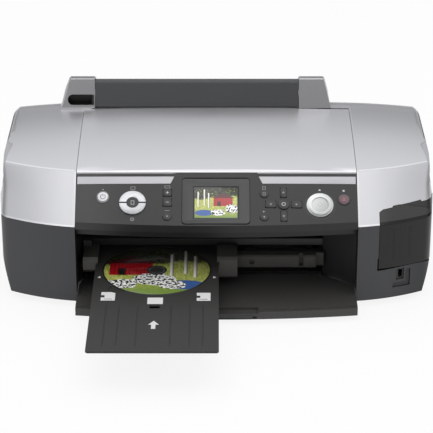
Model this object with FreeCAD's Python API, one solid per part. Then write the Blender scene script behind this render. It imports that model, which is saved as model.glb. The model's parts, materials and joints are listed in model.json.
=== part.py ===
"""Wide photo printer that also prints on discs, built as an assembly of separate pieces.

Millimetres.  X runs to the right, Y to the back, Z up.  The origin is on the floor, under the
middle of the whole object's width and depth.  Each piece is written to parts/NAME.step in its place.
"""
import FreeCAD, Part

import math
import os

from FreeCAD import Placement, Rotation, Vector

# ---- case ---------------------------------------------------------------------------------
body_depth = 250.0
tray_reach = 187.0      # how far the disc tray stands out in front of the cheeks
body_front = (tray_reach - body_depth) / 2
foot_height = 8.0
foot_radius = 9.0
wall = 2.5
seam = 0.3              # visible gap between neighbouring covers
fit = 0.4               # gap round a part that moves in an opening
running = 0.05          # radial clearance of a journal or a slide bore
shake = 0.3             # gap between a moving part and what guides it

foot_half = 233.0       # half widths of the case seen from the front
waist_half = 247.0
waist_height = 95.0
crease_half = 238.8
crease_height = 142.7
shoulder_radius = 20.0
shoulder_low = math.radians(15)
shoulder_high = math.radians(80)
cover_thickness = 3.6
cover_top = 150.0
cover_front = 62.0      # depths of the flank covers' front and rear edges
cover_rear = body_depth - 30

mouth_half = 157.0      # half width of the mouth between the two front cheeks
cheek_start = math.radians(8)
cheek_radius = 220.0
corner_start_half = 233.0
corner_half = 241.8
flank_half = 247.6
rear_half = 243.0
rear_radius = 15.0
split_height = 99.7     # where the dark lower case meets the silver upper case
incline = 1.075         # horizontal run of the cheek's upper front per unit of height

crown_height = 161.5
crown_depth = body_depth - 50   # distance behind the cheeks where the crown is highest
crown_radius = 780.0
crown_cross_radius = 8000.0
crown_side_radius = 700.0

# ---- lid ----------------------------------------------------------------------------------
lid_front = 48.3
lid_rear = body_depth - 50.8
lid_flange = 7.0
lid_gap = 0.5
lid_axis_depth = lid_rear - 1.5
lid_axis_height = 157.9
lid_swing = 4.3         # radius swept by the lid's rear edge
rear_gap = 3.0          # room behind the lid for that edge
hinge_pin_radius = 1.2
hinge_pin_length = 2.4

# ---- control panel ------------------------------------------------------------------------
panel_half = 156.2
panel_top_depth = 47.6
panel_top_height = 144.2
panel_base_height = 106.0
panel_bulge = 10.0      # how far the panel's lower edge stands forward in the middle
lip_height = 9.0
brow_depth = 10.0       # the second, lower band behind the lip
brow_height = 10.0
trim_top = 4.7          # distances down the panel's slope from its top edge
trim_bottom = 14.1
trim_recess = 1.4
trim_inner_top = 47.0
trim_inner_bottom = 51.0

cap_rise = 0.8
cap_flange = 1.2
cap_flange_side = 0.8
start_step = 1.5
start_dish_radius = 9.0
button_travel = 1.0
switch_side = 6.0
board_drop = 9.0
board_thickness = 1.6

# name: (x, distance down the slope, diameter, rise)
round_buttons = {
    "power_button": (-126.0, 30.8, 13.5, 1.2),
    "setup_button": (-54.6, 56.7, 10.0, cap_rise),
    "settings_button": (52.8, 27.7, 9.7, cap_rise),
    "back_button": (52.5, 57.8, 9.2, cap_rise),
    "ok_button": (74.2, 41.1, 13.0, 1.2),
    "start_button": (114.5, 41.6, 29.6, 2.6),
    "stop_button": (141.2, 33.8, 13.5, 1.0),
}
# name: (x, distance down the slope, width, height)
long_keys = {
    "zoom_in_key": (-54.5, 26.2, 9.8, 8.9),
    "zoom_out_key": (-54.5, 38.6, 9.8, 9.8),
    "up_key": (74.2, 25.9, 7.0, 12.4),
    "down_key": (74.2, 56.3, 7.0, 12.4),
    "left_key": (59.9, 41.1, 11.8, 8.4),
    "right_key": (88.5, 41.1, 11.8, 8.4),
}
mode_x = -92.9
mode_down = 39.1
mode_radius = 14.8
mode_hub_radius = 6.4
mode_rise = 2.0
mode_flange_half = 12.0
mode_bridge = 1.6       # band of the housing between the two half rings

# ---- display ------------------------------------------------------------------------------
lcd_left = -38.1
lcd_right = 36.7
lcd_top = 7.1
lcd_bottom = 66.4
lcd_thickness = 6.0
lcd_corner = 4.0
lcd_rise = 0.6
lcd_pin_radius = 0.8    # hinge pins at the display's upper corners
lcd_pin_reach = 0.9
lcd_pin_inset = 4.6
lcd_pin_drop = 1.4
screen_left = -25.7
screen_right = 24.5
screen_top = 18.4
screen_bottom = 59.9
screen_thickness = 1.2
screen_depth = 0.5

# ---- ears and paper support ---------------------------------------------------------------
ear_top = 193.0
ear_front = body_depth - 49.4
ear_rear = body_depth - 3.0
ear_top_front = ear_front + 14.4
ear_top_rear = ear_rear - 6.0
ear_foot_height = 152.0
slot_left = -144.0      # the sheet feeder's mouth lies between these
slot_right = 97.5
left_ear_foot = -187.5
left_ear_top = -173.0
right_ear_foot = 137.5
right_ear_top = 126.7
notch_left = -176.0
notch_right = -147.5
notch_low = 167.5
notch_high = 179.0
notch_depth = 9.0

support_top = 190.3
support_foot_height = 162.2
support_axis_depth = ear_rear - 4.5
support_axis_height = 171.0
support_barrel = 3.0

# ---- trays --------------------------------------------------------------------------------
tray_floor_top = 16.0
tray_floor = 3.0
tray_lip_bottom = 6.0
tray_corner_reach = 31.0
tray_middle_reach = 41.0
tray_axis_depth = 51.5
tray_axis_height = 13.6
tray_barrel = 2.3
post_reach = 4.0        # how far the tray's hinge posts stand forward of its axis
scoop_half = 46.0
scoop_depth = 11.0
scoop_drop = 3.2
extension_thickness = 2.4
extension_rear = 42.0   # depth of the extension's rear end when it is in
extension_half = 44.0
pull_lip = 1.0          # rise of the extension's front edge, for the fingers

disc_radius = 60.0
disc_hole_radius = 7.5
disc_thickness = 1.2
disc_tray_width = 138.0
disc_tray_middle = -66.5
disc_tray_front = -tray_reach   # distances behind the front of the cheeks
disc_tray_rear = 72.0
disc_tray_top = 47.0
disc_tray_thickness = 2.6
disc_recess = 1.3
disc_rim = 0.6
thumb_radius = 10.0

# ---- carriage, rollers and gears ----------------------------------------------------------
left_plate = -205.0     # inner faces of the steel side plates
right_plate = 208.0
plate_thickness = 1.5
plate_top = 86.0
shaft_radius = 4.5
shaft_y = body_front + 141.0
shaft_height = 72.0
back_plate_y = body_front + 161.0
back_plate_low = 60.0
back_plate_top = 112.0
carriage_park = 150.0
carriage_width = 104.0
carriage_front = body_front + 77.0
tub_rear = body_front + 131.0   # rear face of the tub that holds the cartridges
carriage_base = 48.6
carriage_top = 96.0
cartridge_count = 6
cartridge_pitch = 15.6
cartridge_top = 104.0
pulley_radius = 7.0
pulley_width = 6.0
pulley_height = 92.0
pulley_y = body_front + 152.0
belt_thickness = 1.2
motor_pulley_x = 190.0
idler_pulley_x = -188.0
motor_radius = 15.0
motor_length = 30.0
motor_shaft_radius = 1.5
journal_radius = 3.0
feed_y = body_front + 155.0
feed_height = 38.0
feed_radius = 6.0
eject_y = body_front + 66.0
eject_height = 38.8
eject_radius = 5.2
gear_module = 1.25
gear_width = 5.0
feed_teeth = 32
pinion_teeth = 12
idler_teeth = 44
eject_teeth = 24
pressure_angle = math.radians(20)
backlash = 0.25
eject_tyre = 14.0
star_radius = 4.0
star_points = 10
tyre_pitch = 58.0
tyre_count = 5
tyre_first = -136.0
star_thickness = 0.8
pickup_y = body_front + 187.0
pickup_height = 74.0
pickup_radius = 13.0

# ---- card door and ports ------------------------------------------------------------------
door_left = 181.0
door_low = 45.7
door_high = 120.7
door_tab_left = 197.0
door_tab_right = 229.0
door_tab_rise = 4.0
door_thickness = 2.0
door_axis_left = 6.3    # depths of the hinge line at the door's two ends
door_axis_right = 34.5
door_axis_height = 51.0
door_pin_radius = 1.0
door_barrel = 2.0
door_barrel_places = (20.0, 46.0)
door_swing = 7.8        # radius swept by the door's lower edge
port_left = 202.0
port_right = 210.5
port_low = 29.0
port_high = 43.0
screw_head = 1.4
screw_radius = 3.0


# ---- small helpers ------------------------------------------------------------------------
def at(depth):
    """Y of a point this far behind the front of the cheeks."""
    return body_front + depth


def box(x0, x1, y0, y1, z0, z1):
    return Part.makeBox(x1 - x0, y1 - y0, z1 - z0, Vector(x0, y0, z0))


def span(x0, x1, z0, z1):
    """Block between these X and Z values, far longer than the case."""
    return box(x0, x1, at(-200), at(body_depth + 200), z0, z1)


def rod_x(x0, x1, y, z, radius):
    return Part.makeCylinder(radius, x1 - x0, Vector(x0, y, z), Vector(1, 0, 0))


def rod_y(y0, y1, x, z, radius):
    return Part.makeCylinder(radius, y1 - y0, Vector(x, y0, z), Vector(0, 1, 0))


def rod_z(z0, z1, x, y, radius):
    return Part.makeCylinder(radius, z1 - z0, Vector(x, y, z0))


def face_of(points):
    return Part.Face(Part.makePolygon(points + points[:1]))


def along_x(outline, x0, x1):
    """Solid whose YZ outline runs from x0 to x1."""
    return face_of([Vector(x0, y, z) for y, z in outline]).extrude(Vector(x1 - x0, 0, 0))


def along_z(outline, z0, z1):
    """Solid whose plan outline runs from z0 to z1."""
    return face_of([Vector(x, y, z0) for x, y in outline]).extrude(Vector(0, 0, z1 - z0))


def arc(p, q, r):
    return Part.Arc(p, q, r).toShape()


def line(p, q):
    return Part.makeLine(p, q)


def mirrored(edges):
    """The edges and their mirror images across the middle of the case, as one closed face."""
    flip = [edge.mirror(Vector(0, 0, 0), Vector(1, 0, 0)) for edge in edges]
    wire = Part.Wire(Part.__sortEdges__(edges + flip))
    return Part.Face(wire)


def fuse(shapes):
    shapes = list(shapes)
    return shapes[0].multiFuse(shapes[1:]) if len(shapes) > 1 else shapes[0]


def save(name, shape):
    shape = shape.removeSplitter() if shape.ShapeType != "Compound" else shape
    if shape.ShapeType == "Compound" and len(shape.Solids) == 1:
        shape = shape.Solids[0]
    if not shape.isValid():
        print("INVALID", name)
    shape.exportStep("parts/%s.step" % name)
    print("%-22s solids %d volume %.0f" % (name, len(shape.Solids), shape.Volume))


def group(shapes):
    return Part.makeCompound([solid for shape in shapes for solid in shape.Solids])


# ---- outer form of the case ---------------------------------------------------------------
def front_outline(inset):
    """Case outline seen from the front, closed far above and below the case."""
    below = -60.0
    low = Vector(foot_half, 0, foot_height)
    waist = Vector(waist_half, 0, waist_height)
    centre_x = crease_half - shoulder_radius * math.cos(shoulder_low)
    centre_z = crease_height - shoulder_radius * math.sin(shoulder_low)

    def shoulder(angle):
        return Vector(centre_x + shoulder_radius * math.cos(angle), 0,
                      centre_z + shoulder_radius * math.sin(angle))

    lower_mid = Vector(foot_half + 0.66 * (waist_half - foot_half), 0, (foot_height + waist_height) / 2)
    upper_mid = Vector(waist_half - 0.3 * (waist_half - crease_half), 0,
                       (waist_height + crease_height) / 2)
    crease = shoulder(shoulder_low)
    turned = shoulder(shoulder_high)
    apex = Vector(0, 0, turned.z + turned.x / math.tan(shoulder_high))
    edges = [
        line(Vector(0, 0, below), Vector(foot_half, 0, below)),
        line(Vector(foot_half, 0, below), low),
        arc(low, lower_mid, waist),
        arc(waist, upper_mid, crease),
        arc(crease, shoulder((shoulder_low + shoulder_high) / 2), turned),
        line(turned, apex),
    ]
    face = mirrored(edges)
    return face.makeOffset2D(-inset) if inset else face


def plan_outline(inset, longer=0.0):
    """Case outline seen from above: flat middle, swept cheeks, bulging flanks, round corners."""
    def cheek(angle):
        return Vector(mouth_half + cheek_radius * (math.sin(angle) - math.sin(cheek_start)),
                      at(cheek_radius * (math.cos(cheek_start) - math.cos(angle))), 0)

    cheek_end = math.asin(math.sin(cheek_start) + (corner_start_half - mouth_half) / cheek_radius)
    start = cheek(cheek_end)
    run = (corner_half - start.x) / math.cos(cheek_end)
    knee = Vector(corner_half, start.y + run * math.sin(cheek_end), 0)
    end = knee + Vector(0, run, 0)
    radius = run / math.tan((math.pi / 2 - cheek_end) / 2)
    centre = end - Vector(radius, 0, 0)
    corner_mid = centre + (knee - centre).normalize() * radius
    rear = Vector(rear_half, at(body_depth - rear_radius), 0)
    rear_centre = rear - Vector(rear_radius, 0, 0)
    rear_mid = rear_centre + Vector(1, 1, 0).normalize() * rear_radius
    rear_end = rear_centre + Vector(0, rear_radius, 0)
    edges = [
        line(Vector(0, body_front, 0), Vector(mouth_half, body_front, 0)),
        arc(cheek(cheek_start), cheek((cheek_start + cheek_end) / 2), start),
        arc(start, corner_mid, end),
    ]
    if longer:
        far = Vector(end.x + 0.3 * longer, end.y + longer, 0)
        edges += [line(end, far), line(far, Vector(0, far.y, 0))]
    else:
        edges += [arc(end, Vector(flank_half, at(body_depth / 2), 0), rear), arc(rear, rear_mid, rear_end),
                  line(rear_end, Vector(0, rear_end.y, 0))]
    face = mirrored(edges)
    return face.makeOffset2D(-inset) if inset else face


def under_crown(drop):
    """Everything below the arched top, lowered by drop: a cross section turned about a far axis."""
    axis = Vector(0, at(crown_depth), crown_height - crown_radius)

    def crown(x):
        return crown_height - x * x / (2 * crown_cross_radius)

    def side(x):
        slope = mouth_half / crown_cross_radius
        dx = x - mouth_half
        return crown(mouth_half) - slope * dx - dx * dx / (2 * crown_side_radius)

    reach = 262.0
    y = at(crown_depth)
    top = Vector(0, y, crown(0) - drop)
    inner = Vector(mouth_half, y, crown(mouth_half) - drop)
    outer = Vector(reach, y, side(reach) - drop)
    quarter = Vector(mouth_half / 2, y, crown(mouth_half / 2) - drop)
    middle_x = (mouth_half + reach) / 2
    edges = [
        arc(top, quarter, inner),
        arc(inner, Vector(middle_x, y, side(middle_x) - drop), outer),
        line(outer, Vector(reach, y, 0)),
        line(Vector(reach, y, 0), Vector(0, y, 0)),
    ]
    face = mirrored(edges)
    face.rotate(axis, Vector(1, 0, 0), 22)
    return face.revolve(axis, Vector(1, 0, 0), -28)


def envelope(side_inset, inset):
    """The case's outer form, moved inwards: the flanks by side_inset, all else by inset."""
    front = front_outline(side_inset)
    front.translate(Vector(0, body_front - 60, 0))
    front_block = front.extrude(Vector(0, body_depth + 120, 0))
    plan = plan_outline(inset)
    plan.translate(Vector(0, 0, -70))
    plan_block = plan.extrude(Vector(0, 0, 320))
    slope = plan_outline(0, 2 * body_depth)
    shift = inset * math.hypot(1, incline)
    rise = 140.0
    slope.translate(Vector(0, shift - incline * rise, split_height - rise))
    slope_block = slope.extrude(Vector(0, 2 * incline * rise, 2 * rise))
    return front_block.common(plan_block).common(slope_block).common(under_crown(inset))


def case_shell():
    """Outer form without the room of the flank covers, hollowed; and the outer form itself."""
    outer = envelope(0, 0)
    room = box(-300, 300, at(cover_front) - seam, at(cover_rear) + seam, -100, cover_top + seam)
    front = front_outline(cover_thickness + seam / 2)
    front.translate(Vector(0, at(-75), 0))
    core = front.extrude(Vector(0, body_depth + 150, 0))
    cored = outer.cut(room.cut(core))
    hollow = envelope(cover_thickness + wall, wall)
    below_floor = span(-300, 300, -100, foot_height)
    return outer.cut(below_floor), cored.cut(below_floor), cored.cut(hollow).cut(below_floor)


def side_covers(outer):
    front = front_outline(cover_thickness)
    front.translate(Vector(0, at(-75), 0))
    core = front.extrude(Vector(0, body_depth + 150, 0))
    for name, x0, x1 in (("side_cover_left", -300, 0), ("side_cover_right", 0, 300)):
        zone = box(x0, x1, at(cover_front), at(cover_rear), foot_height, cover_top)
        piece = outer.cut(core).common(zone)
        save(name, max(piece.Solids, key=lambda solid: solid.Volume))


# ---- card door ----------------------------------------------------------------------------
def door_outline(clearance):
    """Front outline of the card door, with its tab, a little larger by clearance."""
    c = clearance
    high = door_high + c
    return [
        (door_left - c, door_low - c), (300, door_low - c), (300, high + 3.0),
        (door_tab_right + c + 1, high + 1.0), (door_tab_right + c, high + door_tab_rise),
        (door_tab_left - c, high + door_tab_rise - 2.5), (door_tab_left - c - 1, high - 1.0),
        (door_left + 4 - c, high - 2.6), (door_left - c, high - 6.6),
    ]


def door_room(clearance):
    points = [Vector(x, at(-40), z) for x, z in door_outline(clearance)]
    front = face_of(points).extrude(Vector(0, door_reach + 40 + clearance, 0))
    return front


door_reach = 37.0       # how far the door wraps back round the corner


def door_axis():
    """Start point and turn about Z of the door's hinge line, which follows the swept front."""
    start = Vector(door_left, at(door_axis_left), door_axis_height)
    end = Vector(corner_half - 0.8, at(door_axis_right), door_axis_height)
    return start, math.degrees(math.atan2(end.y - start.y, end.x - start.x))


def on_door_axis(shape):
    """Shape drawn with X along the hinge line and Y to the back, put onto the hinge line."""
    start, turn = door_axis()
    placed = shape.copy()
    placed.Placement = Placement(start, Rotation(Vector(0, 0, 1), turn))
    return placed


def card_door(outer):
    inner = envelope(door_thickness, door_thickness)
    skin = outer.cut(inner).common(door_room(0))
    skin = skin.cut(span(0, 300, -10, door_low))
    door = max(skin.Solids, key=lambda solid: solid.Volume)
    ribs = []
    for x in (192.0, 215.0):
        ribs.append(box(x, x + 1.5, at(4), at(60), door_low + 12, split_height - 4)
                    .common(inner).cut(envelope(door_thickness + 2.5, door_thickness + 2.5)))
    hinges = []
    for along in door_barrel_places:
        web = on_door_axis(box(along, along + 6, -9, 0, -door_barrel, door_barrel)).common(inner)
        barrel = on_door_axis(rod_x(along, along + 6, 0, 0, door_barrel))
        hole = on_door_axis(rod_x(along - 1, along + 7, 0, 0, door_pin_radius + running))
        hinges.append(barrel.fuse(web).cut(hole))
    save("card_door", fuse([door] + ribs + hinges))


# ---- lower case ---------------------------------------------------------------------------
right_flare_x = 121.0
right_flare_depth = 55.0
left_wall_end = -151.0
wall_turn_depth = 25.0
mouth_wall = 2.5
mouth_top = 96.0
rear_window = (-150.0, 110.0, 16.0, 94.0)
inlet_window = (-208.0, -174.0, 20.0, 46.0)
usb_window = (168.0, 184.0, 20.0, 34.0)
disc_slot_high = 60.0


def mouth_walls():
    """The two side walls of the mouth: the left one nearly straight, the right one flared."""
    face = mouth_half - seam
    right = [(face, at(0.6)), (face, at(wall_turn_depth)), (right_flare_x, at(right_flare_depth)),
             (right_flare_x + 1.9, at(right_flare_depth + 1.4)),
             (face + mouth_wall, at(wall_turn_depth + 1.2)), (face + mouth_wall, at(0.6))]
    left = [(-face, at(0.6)), (-face, at(wall_turn_depth)), (left_wall_end, at(56)),
            (left_wall_end - mouth_wall, at(56)), (-face - mouth_wall, at(wall_turn_depth)),
            (-face - mouth_wall, at(0.6))]
    low = foot_height + wall + seam
    return [along_z(outline, low, mouth_top) for outline in (right, left)]


def lower_case(shell):
    case = shell.common(span(-300, 300, foot_height, split_height - seam))
    mouth = box(-mouth_half + seam, mouth_half - seam, at(-30), at(40), -1, 200)
    case = case.cut(mouth)
    case = fuse([case] + mouth_walls())
    case = case.cut(door_room(fit))
    case = case.cut(on_door_axis(rod_x(-2, 80, 0, 0, door_swing)))
    x0, x1, z0, z1 = rear_window
    case = case.cut(box(x0, x1, at(body_depth - 10), at(body_depth + 10), z0, z1))
    for x0, x1, z0, z1 in (inlet_window, usb_window):
        case = case.cut(box(x0, x1, at(body_depth - 10), at(body_depth + 10), z0, z1))
    case = case.cut(box(port_left, port_right, at(-10), at(40), port_low, port_high))
    bracket = box(port_left - 4, port_right + 7.5, at(-10), at(60), port_low - 9, port_high - 2)
    keep = box(port_left - 4, port_right + 2, at(-10), at(60), port_low - 3, port_high)
    groove = envelope(0, 1.2)
    case = case.cut(bracket.cut(keep).cut(groove))
    save("lower_case", case)


# ---- upper case ---------------------------------------------------------------------------
def frustum(low_rect, low_z, high_rect, high_z):
    wires = []
    for (x0, x1, y0, y1), z in ((low_rect, low_z), (high_rect, high_z)):
        points = [Vector(x0, y0, z), Vector(x1, y0, z), Vector(x1, y1, z), Vector(x0, y1, z)]
        wires.append(Part.makePolygon(points + points[:1]))
    return Part.makeLoft(wires, True, True)


def ear(foot_x0, foot_x1, top_x0, top_x1):
    """One raised ear of the sheet feeder: a leaning, tapered, hollow box."""
    lean = (ear_top_front - ear_front) / (ear_top - crown_height)
    foot_front = at(ear_front - lean * (crown_height - ear_foot_height))
    solid = frustum((foot_x0, foot_x1, foot_front, at(ear_rear)), ear_foot_height,
                    (top_x0, top_x1, at(ear_top_front), at(ear_top_rear)), ear_top)
    rim = [edge for edge in solid.Edges
           if edge.CenterOfMass.z > ear_top - 0.1]
    solid = solid.makeChamfer(1.2, rim)
    inner = frustum((foot_x0 + wall, foot_x1 - wall, foot_front + wall, at(ear_rear - wall)),
                    ear_foot_height - 1,
                    (top_x0 + wall, top_x1 - wall, at(ear_top_front) + wall, at(ear_top_rear) - wall),
                    ear_top - wall)
    return solid, inner


def finger_notch(grow):
    """Room of the finger notch in the left ear, with its rounded left end."""
    radius = (notch_high - notch_low) / 2
    middle = (notch_high + notch_low) / 2
    start = at(ear_front - 2)
    straight = box(notch_left + radius, notch_right + grow, start, start + notch_depth + 6 + grow,
                   notch_low - grow, notch_high + grow)
    end = rod_y(start, start + notch_depth + 6 + grow, notch_left + radius, middle, radius + grow)
    return straight.fuse(end)


def upper_case(outer, cored, shell):
    case = shell.common(span(-300, 300, split_height, 220))
    for x0 in (-panel_half - hinge_pin_length - 1.0, panel_half):
        case = case.cut(rod_x(x0, x0 + hinge_pin_length + 1.0, at(lid_axis_depth), lid_axis_height,
                              hinge_pin_radius + running))
    flange_x0 = mouth_half - seam
    flange_x1 = flange_x0 + 2.2
    bridge_y = at(lid_rear) + rear_gap
    deep = envelope(0, 10.0)
    rim_zone = cored.cut(deep).common(span(-300, 300, split_height, 220))
    flanges = []
    for sign in (-1, 1):
        lo, hi = sorted((sign * flange_x0, sign * flange_x1))
        pin_hole = rod_x(lo - 1, hi + 1, at(lid_axis_depth), lid_axis_height, hinge_pin_radius + running)
        flanges.append(rim_zone.common(box(lo, hi, at(0), bridge_y, 0, 220)).cut(pin_hole))
    bridge = rim_zone.common(box(-flange_x1, flange_x1, bridge_y, bridge_y + 2.0, 0, 220))
    case = fuse([case, bridge] + flanges)
    case = case.cut(box(-flange_x0, flange_x0, at(-40), bridge_y, 0, 220))
    left_ear, left_hollow = ear(left_ear_foot, slot_left, left_ear_top, slot_left)
    right_ear, right_hollow = ear(slot_right, right_ear_foot, slot_right, right_ear_top)
    below = under_crown(wall)
    lid_room = box(-panel_half - lid_gap, panel_half + lid_gap, at(0), at(lid_rear + lid_gap), 0, 220)
    pin_reach = panel_half + hinge_pin_length + 1.0
    for reach, radius in ((panel_half + lid_gap, lid_swing), (pin_reach, hinge_pin_radius + fit)):
        lid_room = lid_room.fuse(rod_x(-reach, reach, at(lid_axis_depth), lid_axis_height, radius))
    ears = [left_ear.cut(below).cut(lid_room), right_ear.cut(below).cut(lid_room)]
    case = fuse([case] + ears)
    case = case.cut(left_hollow.cut(under_crown(0.0)))
    case = case.cut(right_hollow.cut(under_crown(0.0)))
    pocket = finger_notch(wall).common(left_ear)
    case = case.fuse(pocket.cut(below)).cut(finger_notch(0))
    feeder_mouth = box(slot_left - 0.01, slot_right + 0.01, bridge_y + 3.5, at(ear_rear - 1), 120, 220)
    case = case.cut(feeder_mouth)
    case = case.cut(door_room(fit))
    bosses = []
    for x0, x1 in ((slot_left - 4.0, slot_left), (slot_right, slot_right + 4.0)):
        bosses.append(rod_x(x0, x1, at(support_axis_depth), support_axis_height,
                            support_barrel + 2.0).common(left_ear.fuse(right_ear)))
    case = case.fuse(fuse(bosses))
    case = case.cut(rod_x(slot_left - 2.6, slot_right + 2.6, at(support_axis_depth),
                          support_axis_height, hinge_pin_radius + running))
    case = max(case.Solids, key=lambda solid: solid.Volume)
    save("upper_case", case)


def lid(outer):
    half = panel_half
    zone = box(-half, half, at(lid_front), at(lid_rear), 100, 220)
    hollow = under_crown(wall).common(
        box(-half + wall, half - wall, at(lid_front + wall), at(lid_rear + 5), 0, 220))
    shape = outer.common(zone).cut(hollow).cut(under_crown(lid_flange))
    ribs = []
    for x in (-90.0, -30.0, 30.0, 90.0):
        rib = box(x, x + 1.6, at(lid_front + 2), at(lid_rear - 12), 100, 220)
        ribs.append(rib.common(under_crown(wall - 0.2)).cut(under_crown(lid_flange - 1)))
    reach = half + hinge_pin_length
    pins = []
    for x0, x1 in ((-reach, -half + wall), (half - wall, reach)):
        pins.append(rod_x(x0, x1, at(lid_axis_depth), lid_axis_height, hinge_pin_radius))
        inner_x = x0 + hinge_pin_length if x0 < 0 else x0
        pins.append(rod_x(inner_x, inner_x + wall, at(lid_axis_depth), lid_axis_height, 2.6)
                    .common(zone).common(under_crown(0.3)))
    save("lid", fuse([shape] + ribs + pins))


# ---- control panel ------------------------------------------------------------------------
def bulge(x):
    return panel_bulge * (1 - (x / mouth_half) ** 2)


def panel_angle(x):
    """Slope of the panel at x, from the horizontal."""
    return math.atan2(panel_top_height - panel_base_height, panel_top_depth + bulge(x))


def on_panel(shape, x, down):
    """Shape drawn at the origin (X right, Y up the slope, Z outwards), put onto the panel."""
    angle = panel_angle(x)
    point = Vector(x, at(panel_top_depth) - down * math.cos(angle),
                   panel_top_height - down * math.sin(angle))
    placed = shape.copy()
    placed.Placement = Placement(point, Rotation(Vector(1, 0, 0), math.degrees(angle)))
    return placed


def panel_block(sink, half, rear):
    """Solid under the panel's face; sink lowers the face, the rear is a vertical plane."""
    angle = panel_angle(0)
    dy = sink * math.sin(angle)
    dz = -sink * math.cos(angle)

    def section(z, forward, back):
        left = Vector(-half, at(bulge(half) * -forward + back) + dy, z + dz)
        mid = Vector(0, at(-panel_bulge * forward + back) + dy, z + dz)
        right = Vector(half, left.y, z + dz)
        far_right = Vector(half, at(rear), z + dz)
        far_left = Vector(-half, at(rear), z + dz)
        front = arc(left, mid, right) if forward else line(left, right)
        return Part.Wire([front, line(right, far_right), line(far_right, far_left),
                          line(far_left, left)])

    low = section(panel_base_height, 1, 0)
    high = section(panel_top_height, 0, panel_top_depth)
    return Part.makeLoft([low, high], True, True)


def front_arc_block(setback, half, rear, z0, z1):
    """Upright block whose front follows the panel's bulging lower edge."""
    left = Vector(-half, at(setback - bulge(half)), z0)
    mid = Vector(0, at(setback - panel_bulge), z0)
    right = Vector(half, left.y, z0)
    far_right = Vector(half, at(rear), z0)
    far_left = Vector(-half, at(rear), z0)
    wire = Part.Wire([arc(left, mid, right), line(right, far_right), line(far_right, far_left),
                      line(far_left, left)])
    return Part.Face(wire).extrude(Vector(0, 0, z1 - z0))


def button_outline(width, height, grow, low, high):
    w = width + 2 * grow
    h = height + 2 * grow
    return Part.makeBox(w, h, high - low, Vector(-w / 2, -h / 2, low))


def half_ring(upper, grow, low, high):
    """Half of the mode ring, between the hub and the outer edge, above or below the bridge."""
    ring = Part.makeCylinder(mode_radius + grow, high - low, Vector(0, 0, low)).cut(
        Part.makeCylinder(mode_hub_radius + fit - grow, high - low, Vector(0, 0, low)))
    reach = mode_radius + 5
    edge = mode_bridge / 2 - grow
    y0 = edge if upper else -reach
    return ring.common(Part.makeBox(2 * reach, reach - edge, high - low, Vector(-reach, y0, low)))


def corner_flat(width, height, corner, low, high):
    """Upright block with its four corners cut at 45 degrees, centred on the origin."""
    w, h, c = width / 2, height / 2, corner
    points = [(-w + c, -h), (w - c, -h), (w, -h + c), (w, h - c), (w - c, h), (-w + c, h),
              (-w, h - c), (-w, -h + c)]
    return face_of([Vector(x, y, low) for x, y in points]).extrude(Vector(0, 0, high - low))


def lcd_centre():
    return (lcd_left + lcd_right) / 2, (lcd_top + lcd_bottom) / 2


def rounded_block(width, height, radius, low, high):
    block = Part.makeBox(width, height, high - low, Vector(-width / 2, -height / 2, low))
    uprights = [edge for edge in block.Edges if abs(edge.BoundBox.ZLength - (high - low)) < 1e-6]
    return block.makeFillet(radius, uprights)


def trim_zone(sign, top, bottom, low, high, inner_grow, outer_grow):
    """Band across one half of the panel, with its inner end cut at a slant."""
    inner_top = trim_inner_top - inner_grow
    inner_bottom = trim_inner_bottom - inner_grow
    outer = panel_half - 1.0 + outer_grow
    slant = (inner_bottom - inner_top) / (trim_bottom - trim_top)
    x_top = inner_top + slant * (top - trim_top)
    x_bottom = inner_top + slant * (bottom - trim_top)
    points = [(x_top, -top), (outer, -top), (outer, -bottom), (x_bottom, -bottom)]
    return face_of([Vector(sign * x, y, low) for x, y in points]).extrude(Vector(0, 0, high - low))


def on_band(shape):
    """Trim band drawn from the panel's top edge, leaning with the panel's outer half."""
    angle = panel_angle(100.0)
    placed = shape.copy()
    placed.Placement = Placement(Vector(0, at(panel_top_depth), panel_top_height),
                                 Rotation(Vector(1, 0, 0), math.degrees(angle)))
    return placed


def flange_top(x, down, half):
    """Height of a button's flange under the face, clear of the face's slight sideways twist."""
    fall = down / math.hypot(panel_top_depth + bulge(x), panel_top_height - panel_base_height)
    lean = 2 * panel_bulge * abs(x) / mouth_half ** 2 * fall * math.sin(panel_angle(x))
    return -wall - shake - lean * half


def button_holes():
    holes = []
    low, high = -wall - 6, 6
    for x, down, diameter, rise in round_buttons.values():
        hole = Part.makeCylinder(diameter / 2 + shake, high - low, Vector(0, 0, low))
        holes.append(on_panel(hole, x, down))
    for x, down, width, height in long_keys.values():
        holes.append(on_panel(button_outline(width, height, shake, low, high), x, down))
    for upper in (True, False):
        holes.append(on_panel(half_ring(upper, shake, low, high), mode_x, mode_down))
    return holes


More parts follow.
